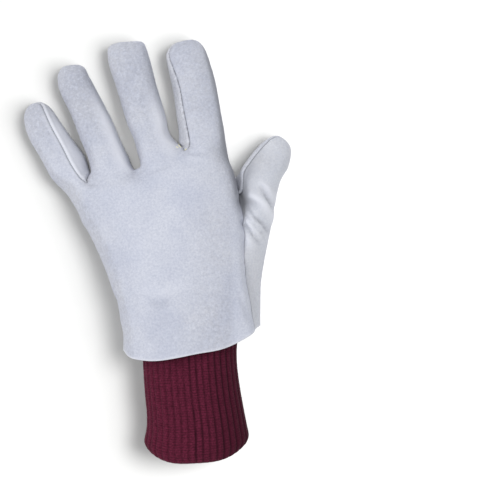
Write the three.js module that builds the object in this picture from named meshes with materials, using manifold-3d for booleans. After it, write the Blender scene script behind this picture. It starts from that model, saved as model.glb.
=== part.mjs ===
// Insulated split-leather work glove for the left hand, lying palm down.
//
// Real size in millimetres, +Z up. The fingers point along +Y, the thumb side is +X, and the
// glove rests on z = 0 with its origin under the middle of its outline.
//
// The leather shell is one smooth skin. It is set out as a cage of sections: rows across the
// hand from the hem to the knuckles, then rings along each finger and the thumb. The cage is
// smoothed by Catmull-Clark subdivision, and the skin is then cut along its seams into the
// panels that a glove maker sews together. Each panel is a closed sheet of leather.
import * as THREE from 'three';
import Module from 'manifold-3d';

// Driving dimensions
const LEATHER = 1.5; // thickness of the split leather
const SEAM_GAP = 0.35; // how far each panel stops short of the seam line
const PATCH_GAP = 0.3; // air between the palm and the patch sewn over it
const PATCH_LIFT = LEATHER + PATCH_GAP; // how far the patch holds the palm off the table
const PATCH_INSET = 1.6; // how far the patch stops short of the outer seams
const PATCH_BELOW_WELT = 5.5; // from the welt down to the top edge of the patch
const SLOT = { fromX: 29, toX: 55, y: 41.2, wide: 9.2 }; // in the patch, at the thumb crotch
const WELT_RADIUS = 1.5; // rolled strip along the roots of the middle and ring fingers
const WELT_GAP = 0.5; // air between the roll and the leather
const KNIT_WALL = 3.0; // both layers of the folded knit
const RIB_DEPTH = 1.1;
const RIB_COUNT = 38;
const KNIT_GAP = 0.4; // air between the knit and the leather round it
const KNIT_SQUARENESS = 2.25;
const FINGER_SQUARENESS = 2.25; // exponent of the finger sections, 2 is an ellipse
const BACK_SQUARENESS = 2.5; // exponent of the arch over the back of the hand

// The columns of a hand row run from the little-finger edge over the back to the thumb edge,
// and return under the palm. Columns 0 and 10 are the edges, and 11 is the lower side seam.
const LITTLE_EDGE = 0;
const THUMB_EDGE = 10;
const SIDE_SEAM = 11;
const PALM_START = 12;
const ROUND = 20; // columns in a whole hand row

// Across the back: share of the way from the little edge to the thumb edge at the hem, how
// far the hem hangs below a straight line there, and the knuckle line's point and height.
const ACROSS = [
  { hemShare: 0.0, hemDrop: 0.0, knuckleX: -68.8, knuckleY: 43.9, knuckleZ: 13 },
  { hemShare: 0.045, hemDrop: 4.4, knuckleX: -63.5, knuckleY: 45.5, knuckleZ: 25 },
  { hemShare: 0.13, hemDrop: 8.0, knuckleX: -57.0, knuckleY: 47.5, knuckleZ: 31 },
  { hemShare: 0.25, hemDrop: 10.3, knuckleX: -50.4, knuckleY: 49.5, knuckleZ: 30 },
  { hemShare: 0.37, hemDrop: 10.6, knuckleX: -33.0, knuckleY: 52.5, knuckleZ: 38 },
  { hemShare: 0.49, hemDrop: 10.2, knuckleX: -15.8, knuckleY: 56.5, knuckleZ: 35 },
  { hemShare: 0.61, hemDrop: 9.8, knuckleX: 2.5, knuckleY: 62.5, knuckleZ: 41 },
  { hemShare: 0.73, hemDrop: 9.6, knuckleX: 19.8, knuckleY: 72.0, knuckleZ: 35 },
  { hemShare: 0.85, hemDrop: 7.2, knuckleX: 34.5, knuckleY: 71.0, knuckleZ: 40 },
  { hemShare: 0.955, hemDrop: 3.2, knuckleX: 46.0, knuckleY: 69.0, knuckleZ: 31 },
  { hemShare: 1.0, hemDrop: 0.0, knuckleX: 50.4, knuckleY: 67.0, knuckleZ: 19 },
];

// Rows from the hem up to just below the knuckles: the two edges of the back panel, the side
// seam under the thumb, the height of the back, how much of the knuckle line's shape and of
// the hem's sag the row takes, and the palm's height.
const ROWS = [
  { name: 'hem', littleX: -24.8, littleY: -71.3, littleZ: 19, thumbX: 70.6, thumbY: -56.2,
    thumbZ: 29, sideX: 72.5, sideY: -54.5, sideZ: 11, crown: 48, knuckle: 0.0, sag: 1.0,
    palmZ: 0.0 },
  { name: 'wrist', littleX: -25.4, littleY: -54.0, littleZ: 18, thumbX: 67.6, thumbY: -37.5,
    thumbZ: 30, sideX: 73.4, sideY: -37.0, sideZ: 11, crown: 47, knuckle: 0.0, sag: 0.7,
    palmZ: 0.2 },
  { name: 'heel', littleX: -31.0, littleY: -33.1, littleZ: 17, thumbX: 63.6, thumbY: -12.0,
    thumbZ: 31, sideX: 75.2, sideY: -14.5, sideZ: 12, crown: 48, knuckle: 0.1, sag: 0.4,
    palmZ: 1.2 },
  { name: 'thumb_root', littleX: -39.1, littleY: -10.1, littleZ: 16, thumbX: 62.2, thumbY: 15.5,
    thumbZ: 30, sideX: 60.0, sideY: 12.0, sideZ: 2, crown: 49, knuckle: 0.25, sag: 0.15,
    palmZ: 1.2 },
  { name: 'thumb_crotch', littleX: -50.1, littleY: 13.7, littleZ: 15, thumbX: 58.0, thumbY: 42.3,
    thumbZ: 22, sideX: 52.8, sideY: 39.5, sideZ: 8, crown: 47, knuckle: 0.5, sag: 0.0,
    palmZ: 1.2 },
  { name: 'patch_top', littleX: -61.0, littleY: 33.8, littleZ: 14, thumbX: 54.2, thumbY: 56.5,
    thumbZ: 20, sideX: 50.0, sideY: 54.5, sideZ: 8, crown: 44, knuckle: 0.8, sag: 0.0,
    palmZ: 1.6 },
];
const HEEL_ROW = 2;
const ROOT_ROW = 3;
const CROTCH_ROW = 4;
const KNUCKLE_ROW = 6;

// Palm columns between the side seam and the little edge: share of the way back, and height
// above the palm's flat.
const PALM_ACROSS = [
  { share: 0.875, rise: 0.0 },
  { share: 0.735, rise: 0.0 },
  { share: 0.61, rise: 0.0 },
  { share: 0.49, rise: 0.0 },
  { share: 0.37, rise: 0.0 },
  { share: 0.25, rise: 0.0 },
  { share: 0.14, rise: 0.3 },
  { share: 0.045, rise: 4.0 },
];
const PALM_FOLLOWS_BACK = 0.75; // how far a palm row takes the bend of the back row above it
const KNUCKLE_PALM_Z = 4.6; // the palm lifts off the table under the knuckles
const KNUCKLE_SIDE = { x: 47.0, y: 65.5, z: 7.5 }; // side seam column at the index finger's base

// Bottom of each gap between two fingers, half way between back and palm.
const CROTCHES = {
  littleRing: { x: -48.8, y: 55.0, z: 14 },
  ringMiddle: { x: -15.5, y: 59.6, z: 16 },
  middleIndex: { x: 15.6, y: 75.6, z: 17 },
};

// The eight columns of a finger ring, as angles round the section: little side 180, back 90,
// thumb side 0, palm -90.
const RING_ANGLES = [180, 135, 90, 45, 0, -45, -90, -135];

// Each finger's rings from base to tip: centre, width, height, lean to the little side in
// degrees, and the angle of its back seam where that seam shows.
const FINGERS = [
  { name: 'little', seamFrom: 0, seamTo: 3, seamColumn: 3, rings: [
    { x: -65.1, y: 59.9, z: 13.5, wide: 27.6, high: 26.0, lean: 31, seam: 76 },
    { x: -72.6, y: 72.2, z: 12.2, wide: 26.7, high: 25.0, lean: 32, seam: 71 },
    { x: -80.5, y: 84.1, z: 11.2, wide: 25.3, high: 23.6, lean: 32, seam: 64 },
    { x: -85.8, y: 94.0, z: 10.8, wide: 23.0, high: 21.8, lean: 29, seam: 58 },
    { x: -88.6, y: 101.4, z: 10.4, wide: 18.2, high: 17.0, lean: 24, seam: 52 },
    { x: -89.6, y: 106.0, z: 10.2, wide: 9.2, high: 8.0, lean: 18, seam: 48 },
  ] },
  { name: 'ring', seamFrom: 0, seamTo: 4, rings: [
    { x: -37.1, y: 69.1, z: 18.0, wide: 26.4, high: 28.0, lean: 24 },
    { x: -43.8, y: 85.2, z: 14.6, wide: 26.0, high: 26.0, lean: 24 },
    { x: -51.2, y: 101.9, z: 11.8, wide: 24.4, high: 24.2, lean: 24 },
    { x: -58.7, y: 116.7, z: 11.0, wide: 23.8, high: 22.4, lean: 24 },
    { x: -62.7, y: 126.7, z: 10.6, wide: 21.2, high: 18.4, lean: 19 },
    { x: -63.9, y: 132.9, z: 10.4, wide: 12.4, high: 8.6, lean: 14 },
  ] },
  { name: 'middle', seamFrom: 0, seamTo: 4, rings: [
    { x: -3.7, y: 79.3, z: 20.5, wide: 30.0, high: 30.0, lean: 17 },
    { x: -10.1, y: 99.6, z: 16.5, wide: 28.1, high: 27.5, lean: 17 },
    { x: -16.1, y: 119.9, z: 12.8, wide: 27.8, high: 26.2, lean: 15 },
    { x: -21.0, y: 136.5, z: 11.9, wide: 29.3, high: 24.8, lean: 12 },
    { x: -22.8, y: 145.8, z: 11.4, wide: 27.4, high: 20.0, lean: 9 },
    { x: -23.1, y: 151.2, z: 11.2, wide: 17.6, high: 9.0, lean: 8 },
  ] },
  { name: 'index', seamFrom: 1, seamTo: 4, seamColumn: 1, rings: [
    { x: 31.6, y: 81.5, z: 20.5, wide: 32.6, high: 30.0, lean: 10, seam: 121 },
    { x: 29.0, y: 100.3, z: 16.5, wide: 31.5, high: 27.5, lean: 10, seam: 128 },
    { x: 25.6, y: 119.9, z: 12.8, wide: 31.0, high: 26.2, lean: 11, seam: 130 },
    { x: 21.3, y: 136.5, z: 11.9, wide: 30.0, high: 24.6, lean: 13, seam: 140 },
    { x: 18.9, y: 145.8, z: 11.4, wide: 25.6, high: 19.6, lean: 14, seam: 154 },
    { x: 18.2, y: 151.4, z: 11.2, wide: 13.6, high: 8.6, lean: 12, seam: 150 },
  ] },
];

// The thumb's rings, whose columns start at its upper seam.
const THUMB_ANGLES = [143, 100, 50, -5, -45, -90, -135, -178];
const THUMB = { name: 'thumb', seamFrom: 0, seamTo: 3, patchFrom: 4, patchTo: 6, rings: [
  { x: 73.4, y: 53.1, z: 14.6, wide: 29.4, high: 28.6, lean: -24 },
  { x: 80.6, y: 64.7, z: 13.4, wide: 27.2, high: 26.6, lean: -27 },
  { x: 86.3, y: 74.2, z: 12.6, wide: 21.4, high: 21.4, lean: -30 },
  { x: 89.6, y: 80.0, z: 12.2, wide: 11.0, high: 10.4, lean: -33 },
] };
const THUMB_PATCH_RINGS = 4; // the patch runs this far along the thumb
const ROOT_BLEND = 0.5; // where the ring between the hand and the thumb's first ring sits

// Sections of the knit wrist from inside the hem down to its free end: centre, width, lowest
// and highest point, and how far the middle of the rim runs out past its sides.
const KNIT_LEAN = 3.2;
const KNIT_ROWS = [
  { x: 22.6, y: -63.0, wide: 70.2, low: 3.9, high: 43.0, bulge: 0 },
  { x: 22.9, y: -74.0, wide: 67.8, low: 3.9, high: 43.5, bulge: 0 },
  { x: 23.5, y: -86.0, wide: 67.6, low: 2.3, high: 44.0, bulge: 1 },
  { x: 25.0, y: -101.0, wide: 68.6, low: 2.3, high: 43.0, bulge: 3 },
  { x: 27.0, y: -116.0, wide: 69.9, low: 0.4, high: 42.5, bulge: 5 },
  { x: 27.8, y: -126.0, wide: 72.2, low: 0.0, high: 42.5, bulge: 7.5 },
  { x: 27.8, y: -134.5, wide: 75.3, low: 0.0, high: 42.5, bulge: 9 },
  { x: 28.0, y: -139.0, wide: 72.0, low: 0.6, high: 41.0, bulge: 10 },
];
const RIM_FLAT = 1.4; // width of the flat on the knit's folded rim
const KNIT_RIM = { x: 28.0, y: -140.3, wide: 69.0, low: 2.0, high: 39.6, bulge: 10 };

// The tab over the knit on the palm side: stations along it, and how far it reaches round the
// knit to each side of straight down, in degrees.
const TAB_ROWS = [
  { y: -65, reach: 58 },
  { y: -74, reach: 64 },
  { y: -84, reach: 64 },
  { y: -92, reach: 60 },
  { y: -99, reach: 51 },
  { y: -104.5, reach: 37 },
  { y: -107.5, reach: 18 },
];
const TAB_COLUMNS = 12;

// Colours and finishes
const SPLIT_LEATHER = { color: 0xc9cedb, roughness: 0.92, metalness: 0 };
const PALM_LEATHER = { color: 0xbcc3d0, roughness: 0.92, metalness: 0 };
const WORSTED_KNIT = { color: 0x521d2d, roughness: 0.95, metalness: 0 };

// Small helpers
const radians = THREE.MathUtils.degToRad;
const lerp = THREE.MathUtils.lerp;
const point = (x, y, z) => new THREE.Vector3(x, y, z);
const mean = (points) =>
  points.reduce((sum, p) => sum.add(p), point(0, 0, 0)).divideScalar(points.length);
const squared = (t, exponent) => Math.sign(t) * Math.abs(t) ** (2 / exponent);

// A cage or skin is { points, faces, panels }: vertices, rings of vertex numbers, and the
// name of the leather panel that each face belongs to.
function emptyCage() {
  return { points: [], faces: [], panels: [] };
}

function addPoint(cage, p) {
  cage.points.push(p);
  return cage.points.length - 1;
}

function addFace(cage, corners, panel) {
  cage.faces.push(corners);
  cage.panels.push(panel);
}

// One point of a hand row on the back of the hand.
function backPoint(row, column) {
  const across = ACROSS[column];
  const ends = [ACROSS[LITTLE_EDGE], ACROSS[THUMB_EDGE]];
  const span = ends[1].knuckleX - ends[0].knuckleX;
  const knuckleShare = (across.knuckleX - ends[0].knuckleX) / span;
  const straightY = lerp(ends[0].knuckleY, ends[1].knuckleY, knuckleShare);
  const share = lerp(across.hemShare, knuckleShare, row.knuckle);
  const bow = (across.knuckleY - straightY) * row.knuckle - across.hemDrop * row.sag;
  const arch = (1 - Math.abs(2 * share - 1) ** BACK_SQUARENESS) ** (1 / BACK_SQUARENESS);
  const edgeZ = lerp(row.littleZ, row.thumbZ, share);
  return point(
    lerp(row.littleX, row.thumbX, share),
    lerp(row.littleY, row.thumbY, share) + bow,
    edgeZ + (row.crown - edgeZ) * arch,
  );
}

// One point of a hand row on the palm, between the side seam and the little edge.
function palmPoint(row, column) {
  const across = PALM_ACROSS[column - PALM_START];
  const above = backPoint(row, ROUND - column);
  const straightY = lerp(row.littleY, row.sideY, across.share);
  return point(
    lerp(row.littleX, row.sideX, across.share),
    lerp(straightY, above.y, PALM_FOLLOWS_BACK),
    row.palmZ + across.rise,
  );
}

function handRow(row) {
  const points = [];
  for (let column = 0; column <= THUMB_EDGE; column++) points.push(backPoint(row, column));
  points.push(point(row.sideX, row.sideY, row.sideZ));
  for (let column = PALM_START; column < ROUND; column++) points.push(palmPoint(row, column));
  return points;
}

function knuckleRow() {
  const points = ACROSS.map((a) => point(a.knuckleX, a.knuckleY, a.knuckleZ));
  points.push(point(KNUCKLE_SIDE.x, KNUCKLE_SIDE.y, KNUCKLE_SIDE.z));
  for (let column = PALM_START; column < ROUND; column++) {
    const above = points[ROUND - column];
    const { rise } = PALM_ACROSS[column - PALM_START];
    points.push(point(above.x, above.y, KNUCKLE_PALM_Z + rise));
  }
  return points;
}

// The eight points of a finger ring. Where a back seam is given, its column moves to that
// angle and the middle of the back moves with it.
function ringPoints(ring, angles, seamColumn) {
  const turned = [...angles];
  if (ring.seam !== undefined) {
    turned[seamColumn] = ring.seam;
    turned[2] = (turned[1] + turned[3]) / 2;
  }
  const lean = radians(ring.lean);
  return turned.map((degrees) => {
    const out = (ring.wide / 2) * squared(Math.cos(radians(degrees)), FINGER_SQUARENESS);
    const up = (ring.high / 2) * squared(Math.sin(radians(degrees)), FINGER_SQUARENESS);
    return point(
      ring.x + out * Math.cos(lean),
      ring.y + out * Math.sin(lean),
      ring.z + up,
    );
  });
}

// Lofts a finger or thumb from a ring of cage vertices that is already there, and closes its
// tip with one face for each panel.
function loftDigit(cage, digit, angles, baseRing, bridge, backPanel, frontPanel) {
  const sides = baseRing.length;
  const isBack = (side) => side >= digit.seamFrom && side < digit.seamTo;
  const frontOf = (side, ring) =>
    side >= digit.patchFrom && side < digit.patchTo && ring < THUMB_PATCH_RINGS
      ? 'palm_under_patch' : frontPanel;
  let last = baseRing;
  const rings = digit.rings.map((ring) => ringPoints(ring, angles, digit.seamColumn));
  if (bridge) {
    rings.unshift(rings[0].map((p, i) => p.clone().lerp(cage.points[baseRing[i]], ROOT_BLEND)));
  }
  rings.forEach((points, ring) => {
    const next = points.map((p) => addPoint(cage, p));
    for (let side = 0; side < sides; side++) {
      const after = (side + 1) % sides;
      const corners = [last[side], last[after], next[after], next[side]];
      addFace(cage, corners, isBack(side) ? backPanel : frontOf(side, ring));
    }
    last = next;
  });
  const back = last.slice(digit.seamFrom, digit.seamTo + 1);
  const front = [...last.slice(digit.seamTo), ...last.slice(0, digit.seamFrom + 1)];
  addFace(cage, back, backPanel);
  addFace(cage, front, frontPanel);
}

// The panel that a hand face belongs to, or null inside the thumb's opening.
function handPanel(row, column) {
  const inThumbRows = row >= HEEL_ROW && row < CROTCH_ROW;
  const inThumbColumns = column === THUMB_EDGE || column === SIDE_SEAM;
  if (inThumbRows && inThumbColumns) return null;
  if (column < THUMB_EDGE) return 'back_panel';
  if (column === THUMB_EDGE && row < HEEL_ROW) return 'thumb_back';
  const covered = row >= HEEL_ROW && column >= SIDE_SEAM && column < ROUND - 1;
  return covered ? 'palm_under_patch' : 'palm_panel';
}

function buildCage() {
  const cage = emptyCage();
  const rows = [...ROWS.map(handRow), knuckleRow()].map((points) =>
    points.map((p) => addPoint(cage, p)),
  );
  for (let row = 0; row < KNUCKLE_ROW; row++) {
    for (let column = 0; column < ROUND; column++) {
      const panel = handPanel(row, column);
      const after = (column + 1) % ROUND;
      const corners = [
        rows[row][column], rows[row][after], rows[row + 1][after], rows[row + 1][column],
      ];
      if (panel) addFace(cage, corners, panel);
    }
  }
  const knuckle = rows[KNUCKLE_ROW];
  const gap = Object.values(CROTCHES).map((c) => addPoint(cage, point(c.x, c.y, c.z)));
  const bases = {
    little: [knuckle[0], knuckle[1], knuckle[2], knuckle[3], gap[0], knuckle[17], knuckle[18],
      knuckle[19]],
    ring: [gap[0], knuckle[3], knuckle[4], knuckle[5], gap[1], knuckle[15], knuckle[16],
      knuckle[17]],
    middle: [gap[1], knuckle[5], knuckle[6], knuckle[7], gap[2], knuckle[13], knuckle[14],
      knuckle[15]],
    index: [gap[2], knuckle[7], knuckle[8], knuckle[9], knuckle[10], knuckle[11], knuckle[12],
      knuckle[13]],
  };
  const fronts = {
    little: 'palm_panel', ring: 'ring_finger_front', middle: 'middle_finger_front',
    index: 'palm_panel',
  };
  for (const finger of FINGERS) {
    loftDigit(cage, finger, RING_ANGLES, bases[finger.name], false, 'back_panel',
      fronts[finger.name]);
  }
  const [heel, root, crotch] = [rows[HEEL_ROW], rows[ROOT_ROW], rows[CROTCH_ROW]];
  const opening = [crotch[10], root[10], heel[10], heel[11], heel[12], root[12], crotch[12],
    crotch[11]];
  loftDigit(cage, THUMB, THUMB_ANGLES, opening, true, 'thumb_back', 'palm_panel');
  return cage;
}

// For each edge, its two ends and the faces beside it; for each vertex, its edges and faces.
function neighbours(skin) {
  const edges = new Map();
  const facesOf = skin.points.map(() => []);
  const edgesOf = skin.points.map(() => []);
  skin.faces.forEach((corners, face) => {
    corners.forEach((a, i) => {
      const b = corners[(i + 1) % corners.length];
      const key = a < b ? `${a}_${b}` : `${b}_${a}`;
      if (!edges.has(key)) {
        edges.set(key, { a, b, faces: [] });
        edgesOf[a].push(key);
        edgesOf[b].push(key);
      }
      edges.get(key).faces.push(face);
      facesOf[a].push(face);
    });
  });
  return { edges, facesOf, edgesOf };
}

const otherEnd = (edge, vertex) => (edge.a === vertex ? edge.b : edge.a);

// One step of Catmull-Clark subdivision. The old vertices keep their numbers.
function subdivide(skin) {
  const { edges, facesOf, edgesOf } = neighbours(skin);
  const facePoints = skin.faces.map((corners) => mean(corners.map((i) => skin.points[i])));
  const middles = new Map();
  const finer = emptyCage();
  skin.points.forEach((p, vertex) => {
    const around = edgesOf[vertex].map((key) => edges.get(key));
    const rim = around.filter((edge) => edge.faces.length === 1);
    if (rim.length) {
      const ends = rim.map((edge) => skin.points[otherEnd(edge, vertex)]);
      addPoint(finer, p.clone().multiplyScalar(0.75).addScaledVector(mean(ends), 0.25));
      return;
    }
    const valence = around.length;
    const halves = around.map((edge) => mean([skin.points[edge.a], skin.points[edge.b]]));
    const moved = mean(facesOf[vertex].map((face) => facePoints[face]))
      .addScaledVector(mean(halves), 2)
      .addScaledVector(p, valence - 3)
      .divideScalar(valence);
    addPoint(finer, moved);
  });
  const centres = facePoints.map((p) => addPoint(finer, p));
  for (const [key, edge] of edges) {
    const ends = [skin.points[edge.a], skin.points[edge.b]];
    const shared = edge.faces.length === 2 ? edge.faces.map((face) => facePoints[face]) : [];
    middles.set(key, addPoint(finer, mean([...ends, ...shared])));
  }
  skin.faces.forEach((corners, face) => {
    corners.forEach((vertex, i) => {
      const before = corners[(i + corners.length - 1) % corners.length];
      const after = corners[(i + 1) % corners.length];
      const middle = (a, b) => middles.get(a < b ? `${a}_${b}` : `${b}_${a}`);
      const quad = [vertex, middle(vertex, after), centres[face], middle(before, vertex)];
      addFace(finer, quad, skin.panels[face]);
    });
  });
  return finer;
}

// Where each vertex of an all-quad skin ends up after endless subdivision.
function limitPoints(skin) {
  const { edges, facesOf, edgesOf } = neighbours(skin);
  return skin.points.map((p, vertex) => {
    const around = edgesOf[vertex].map((key) => edges.get(key));
    const rim = around.filter((edge) => edge.faces.length === 1);
    const near = (rim.length ? rim : around).map((edge) => skin.points[otherEnd(edge, vertex)]);
    if (rim.length) return p.clone().multiplyScalar(2).add(mean(near)).divideScalar(3);
    const across = facesOf[vertex].map((face) => {
      const corners = skin.faces[face];
      return skin.points[corners[(corners.indexOf(vertex) + 2) % corners.length]];
    });
    const valence = near.length;
    return p
      .clone()
      .multiplyScalar(valence)
      .addScaledVector(mean(near), 4)
      .add(mean(across))
      .divideScalar(valence + 5);
  });
}

// Pushes the cage out until its smooth surface passes through the section points.
function fitCage(cage, rounds) {
  const wanted = cage.points.map((p) => p.clone());
  for (let round = 0; round < rounds; round++) {
    const reached = limitPoints(subdivide(cage));
    cage.points.forEach((p, i) => p.add(wanted[i]).sub(reached[i]));
  }
  return cage;
}

// Presses the underside flat where the glove rests, a patch's thickness higher under the patch.
function restOnTable(skin) {
  const lift = skin.points.map(() => 0);
  skin.faces.forEach((corners, face) => {
    if (skin.panels[face] !== 'palm_under_patch') return;
    corners.forEach((vertex) => {
      lift[vertex] = PATCH_LIFT;
    });
  });
  skin.points.forEach((p, i) => {
    p.z = Math.max(p.z, lift[i]);
  });
}

function vertexNormals(skin) {
  const normals = skin.points.map(() => point(0, 0, 0));
  for (const corners of skin.faces) {
    const [a, b, c, d] = corners.map((i) => skin.points[i]);
    const facing = c.clone().sub(a).cross(d.clone().sub(b));
    for (const vertex of corners) normals[vertex].add(facing);
  }
  return normals.map((n) => n.normalize());
}

// Cuts faces out of the skin and gives them thickness: a closed sheet from `inner` to `outer`
// along the skin's normals, drawn back by `inset` from every cut edge.
function leatherSheet(skin, normals, chosen, { outer, inner, inset }) {
  const faces = skin.faces.filter((corners, face) => chosen(skin.panels[face], face));
  const part = { points: skin.points, faces, panels: faces.map(() => '') };
  const { edges, edgesOf } = neighbours(part);
  const hemEdges = neighbours(skin);
  const used = [...new Set(faces.flat())];
  const place = new Map(used.map((vertex, i) => [vertex, i]));
  const rimEdges = [...edges].filter(([, edge]) => edge.faces.length === 1);
  const onTheCut = new Map();
  for (const [key, edge] of rimEdges) {
    if (hemEdges.edges.get(key).faces.length === 1) continue;
    for (const vertex of [edge.a, edge.b]) {
      const inward = mean(faces[edge.faces[0]].map((i) => skin.points[i])).sub(
        mean([skin.points[edge.a], skin.points[edge.b]]),
      );
      const along = skin.points[edge.b].clone().sub(skin.points[edge.a]).normalize();
      inward.addScaledVector(along, -inward.dot(along)).normalize();
      onTheCut.set(vertex, [...(onTheCut.get(vertex) ?? []), inward]);
    }
  }
  const base = used.map((vertex) => {
    const p = skin.points[vertex].clone();
    const inward = onTheCut.get(vertex);
    return inward ? p.addScaledVector(mean(inward).normalize(), inset) : p;
  });
  const offset = (distance) =>
    used.map((vertex, i) => base[i].clone().addScaledVector(normals[vertex], distance));
  const top = offset(outer);
  const bottom = offset(inner);
  top.forEach((p) => {
    p.z = Math.max(p.z, 0);
  });
  const count = used.length;
  const triangles = [];
  for (const corners of faces) {
    const [a, b, c, d] = corners.map((vertex) => place.get(vertex));
    triangles.push([a, b, c], [a, c, d]);
    triangles.push([a + count, c + count, b + count], [a + count, d + count, c + count]);
  }
  for (const [, edge] of rimEdges) {
    const corners = faces[edge.faces[0]];
    const start = corners.findIndex(
      (v, i) => edge.a + edge.b === v + corners[(i + 1) % corners.length]
        && (v === edge.a || v === edge.b),
    );
    const a = place.get(corners[start]);
    const b = place.get(corners[(start + 1) % corners.length]);
    triangles.push([b, a, a + count], [b, a + count, b + count]);
  }
  return solidGeometry([...top, ...bottom], triangles);
}

function solidGeometry(points, triangles) {
  const geometry = new THREE.BufferGeometry().setFromPoints(points);
  geometry.setIndex(triangles.flat());
  geometry.computeVertexNormals();
  return geometry;
}

// Triangles that close a ring of points, zipped up from the middle of its first edge. The ring
// is round, or runs out along one side of a strip and back along the other.
function zipped(sides) {
  const triangles = [];
  let [low, high] = [0, sides - 1];
  while (high - low > 1) {
    triangles.push([low, low + 1, high]);
    low += 1;
    if (high - low > 1) {
      triangles.push([low, high - 1, high]);
      high -= 1;
    }
  }
  return triangles;
}

// Joins closed rings of equal length into one solid. Each ring but the last is joined to the
// next; the ends are joined to each other, or each closed when `capped`.
function loft(rings, capped) {
  const sides = rings[0].length;
  const points = rings.flat();
  const triangles = [];
  const bands = capped ? rings.length - 1 : rings.length;
  for (let band = 0; band < bands; band++) {
    const next = (band + 1) % rings.length;
    for (let side = 0; side < sides; side++) {
      const after = (side + 1) % sides;
      const [a, b] = [band * sides + side, band * sides + after];
      const [c, d] = [next * sides + after, next * sides + side];
      triangles.push([a, b, c], [a, c, d]);
    }
  }
  if (capped) {
    const last = points.length - sides;
    for (const [a, b, c] of zipped(sides)) {
      triangles.push([a, c, b], [last + a, last + b, last + c]);
    }
  }
  return solidGeometry(points, triangles);
}

// A round roll along a smooth line through the given points.
function roll(through, radius, stations, sides) {
  const curve = new THREE.CatmullRomCurve3(through);
  const up = point(0, 0, 1);
  const rings = [];
  for (let station = 0; station <= stations; station++) {
    const t = station / stations;
    const centre = curve.getPointAt(t);
    const side = up.clone().cross(curve.getTangentAt(t)).normalize();
    const rise = curve.getTangentAt(t).cross(side).normalize();
    const ring = [];
    for (let corner = 0; corner < sides; corner++) {
      const angle = (2 * Math.PI * corner) / sides;
      ring.push(centre.clone()
        .addScaledVector(side, radius * Math.cos(angle))
        .addScaledVector(rise, radius * Math.sin(angle)));
    }
    rings.push(ring);
  }
  return loft(rings, true);
}

// One section of the knit, or a section between two rows of its table.
function knitSection(y) {
  const last = KNIT_ROWS.length - 2;
  const found = KNIT_ROWS.findIndex((row, i) => i <= last && y >= KNIT_ROWS[i + 1].y);
  const [above, below] = [KNIT_ROWS[found], KNIT_ROWS[found + 1]];
  const t = (y - above.y) / (below.y - above.y);
  const mixed = {};
  for (const key of Object.keys(above)) mixed[key] = lerp(above[key], below[key], t);
  return mixed;
}

// A point of a knit section at an angle round it, moved outward by `out`.
function knitPoint(section, degrees, out) {
  const [cos, sin] = [Math.cos(radians(degrees)), Math.sin(radians(degrees))];
  const halfWide = section.wide / 2 + out;
  const halfHigh = (section.high - section.low) / 2 + out;
  const across = halfWide * squared(cos, KNIT_SQUARENESS);
  const lean = radians(KNIT_LEAN);
  return point(
    section.x + across * Math.cos(lean),
    section.y + across * Math.sin(lean) - section.bulge * sin * sin,
    (section.low + section.high) / 2 + halfHigh * squared(sin, KNIT_SQUARENESS),
  );
}

// The knit starts against the inside of the shell, a row above the hem.
function knitTop(skin, normals, out) {
  const row = [];
  for (let column = 0; column < ROUND; column++) {
    const vertex = ROUND + column;
    const depth = LEATHER + 2 * KNIT_GAP - out;
    row.push(skin.points[vertex].clone().addScaledVector(normals[vertex], -depth));
  }
  const curve = new THREE.CatmullRomCurve3(row, true);
  return curve.getSpacedPoints(2 * RIB_COUNT).slice(0, -1);
}

function knitWrist(skin, normals) {
  const ribs = 2 * RIB_COUNT;
  const ring = (section, out, ribbed) => {
    const points = [];
    for (let i = 0; i < ribs; i++) {
      const depth = ribbed && i % 2 ? RIB_DEPTH : 0;
      points.push(knitPoint(section, 180 - (360 * i) / ribs, out - depth));
    }
    return points;
  };
  const outer = KNIT_ROWS.map((section) => ring(section, 0, true));
  const inner = KNIT_ROWS.map((section) => ring(section, -KNIT_WALL, false));
  const rim = [ring(KNIT_RIM, 0, true), ring(KNIT_RIM, -RIM_FLAT, false)];
  const rings = [
    knitTop(skin, normals, 0), ...outer, ...rim, ...inner.reverse(),
    knitTop(skin, normals, -KNIT_WALL),
  ];
  return loft(rings.reverse(), false);
}

function pulseTab() {
  const sheet = (out) => TAB_ROWS.map((row) => {
    const section = knitSection(row.y);
    const points = [];
    for (let column = 0; column <= TAB_COLUMNS; column++) {
      const angle = -90 + row.reach * ((2 * column) / TAB_COLUMNS - 1);
      const p = knitPoint(section, angle, out);
      p.z = Math.max(p.z, 0);
      points.push(p);
    }
    return points;
  });
  const inner = sheet(KNIT_GAP);
  const outer = sheet(KNIT_GAP + LEATHER);
  return loft(outer.map((row, i) => [...row, ...inner[i].reverse()]), true);
}

function weltPath(skin, normals) {
  const knuckle = KNUCKLE_ROW * ROUND;
  return [17, 16, 15, 14, 13].map((column) => {
    const vertex = knuckle + column;
    return skin.points[vertex].clone()
      .addScaledVector(normals[vertex], WELT_RADIUS + WELT_GAP);
  });
}

// Cutting one closed shape out of another.
const CUT_HEIGHTS = [-10, 60];
const PATCH_CUT = { before: 20, drop: 4, after: 6, top: 120 };
const SLOT_END_STEPS = 9;
const wasm = await Module();
wasm.setup();

function solidOf(geometry) {
  return new wasm.Manifold(new wasm.Mesh({
    numProp: 3,
    vertProperties: geometry.attributes.position.array,
    triVerts: new Uint32Array(geometry.index.array),
  }));
}

function cutAway(geometry, cutters) {
  let solid = solidOf(geometry);
  for (const cutter of cutters) solid = solid.subtract(solidOf(cutter));
  const mesh = solid.getMesh();
  const cut = new THREE.BufferGeometry();
  cut.setAttribute('position', new THREE.BufferAttribute(mesh.vertProperties, 3));
  cut.setIndex([...mesh.triVerts]);
  return cut;
}

// An upright prism over a plan outline, that cuts through the whole glove.
function prism(outline) {
  return loft(CUT_HEIGHTS.map((z) => outline.map(([x, y]) => point(x, y, z))), true);
}

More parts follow.
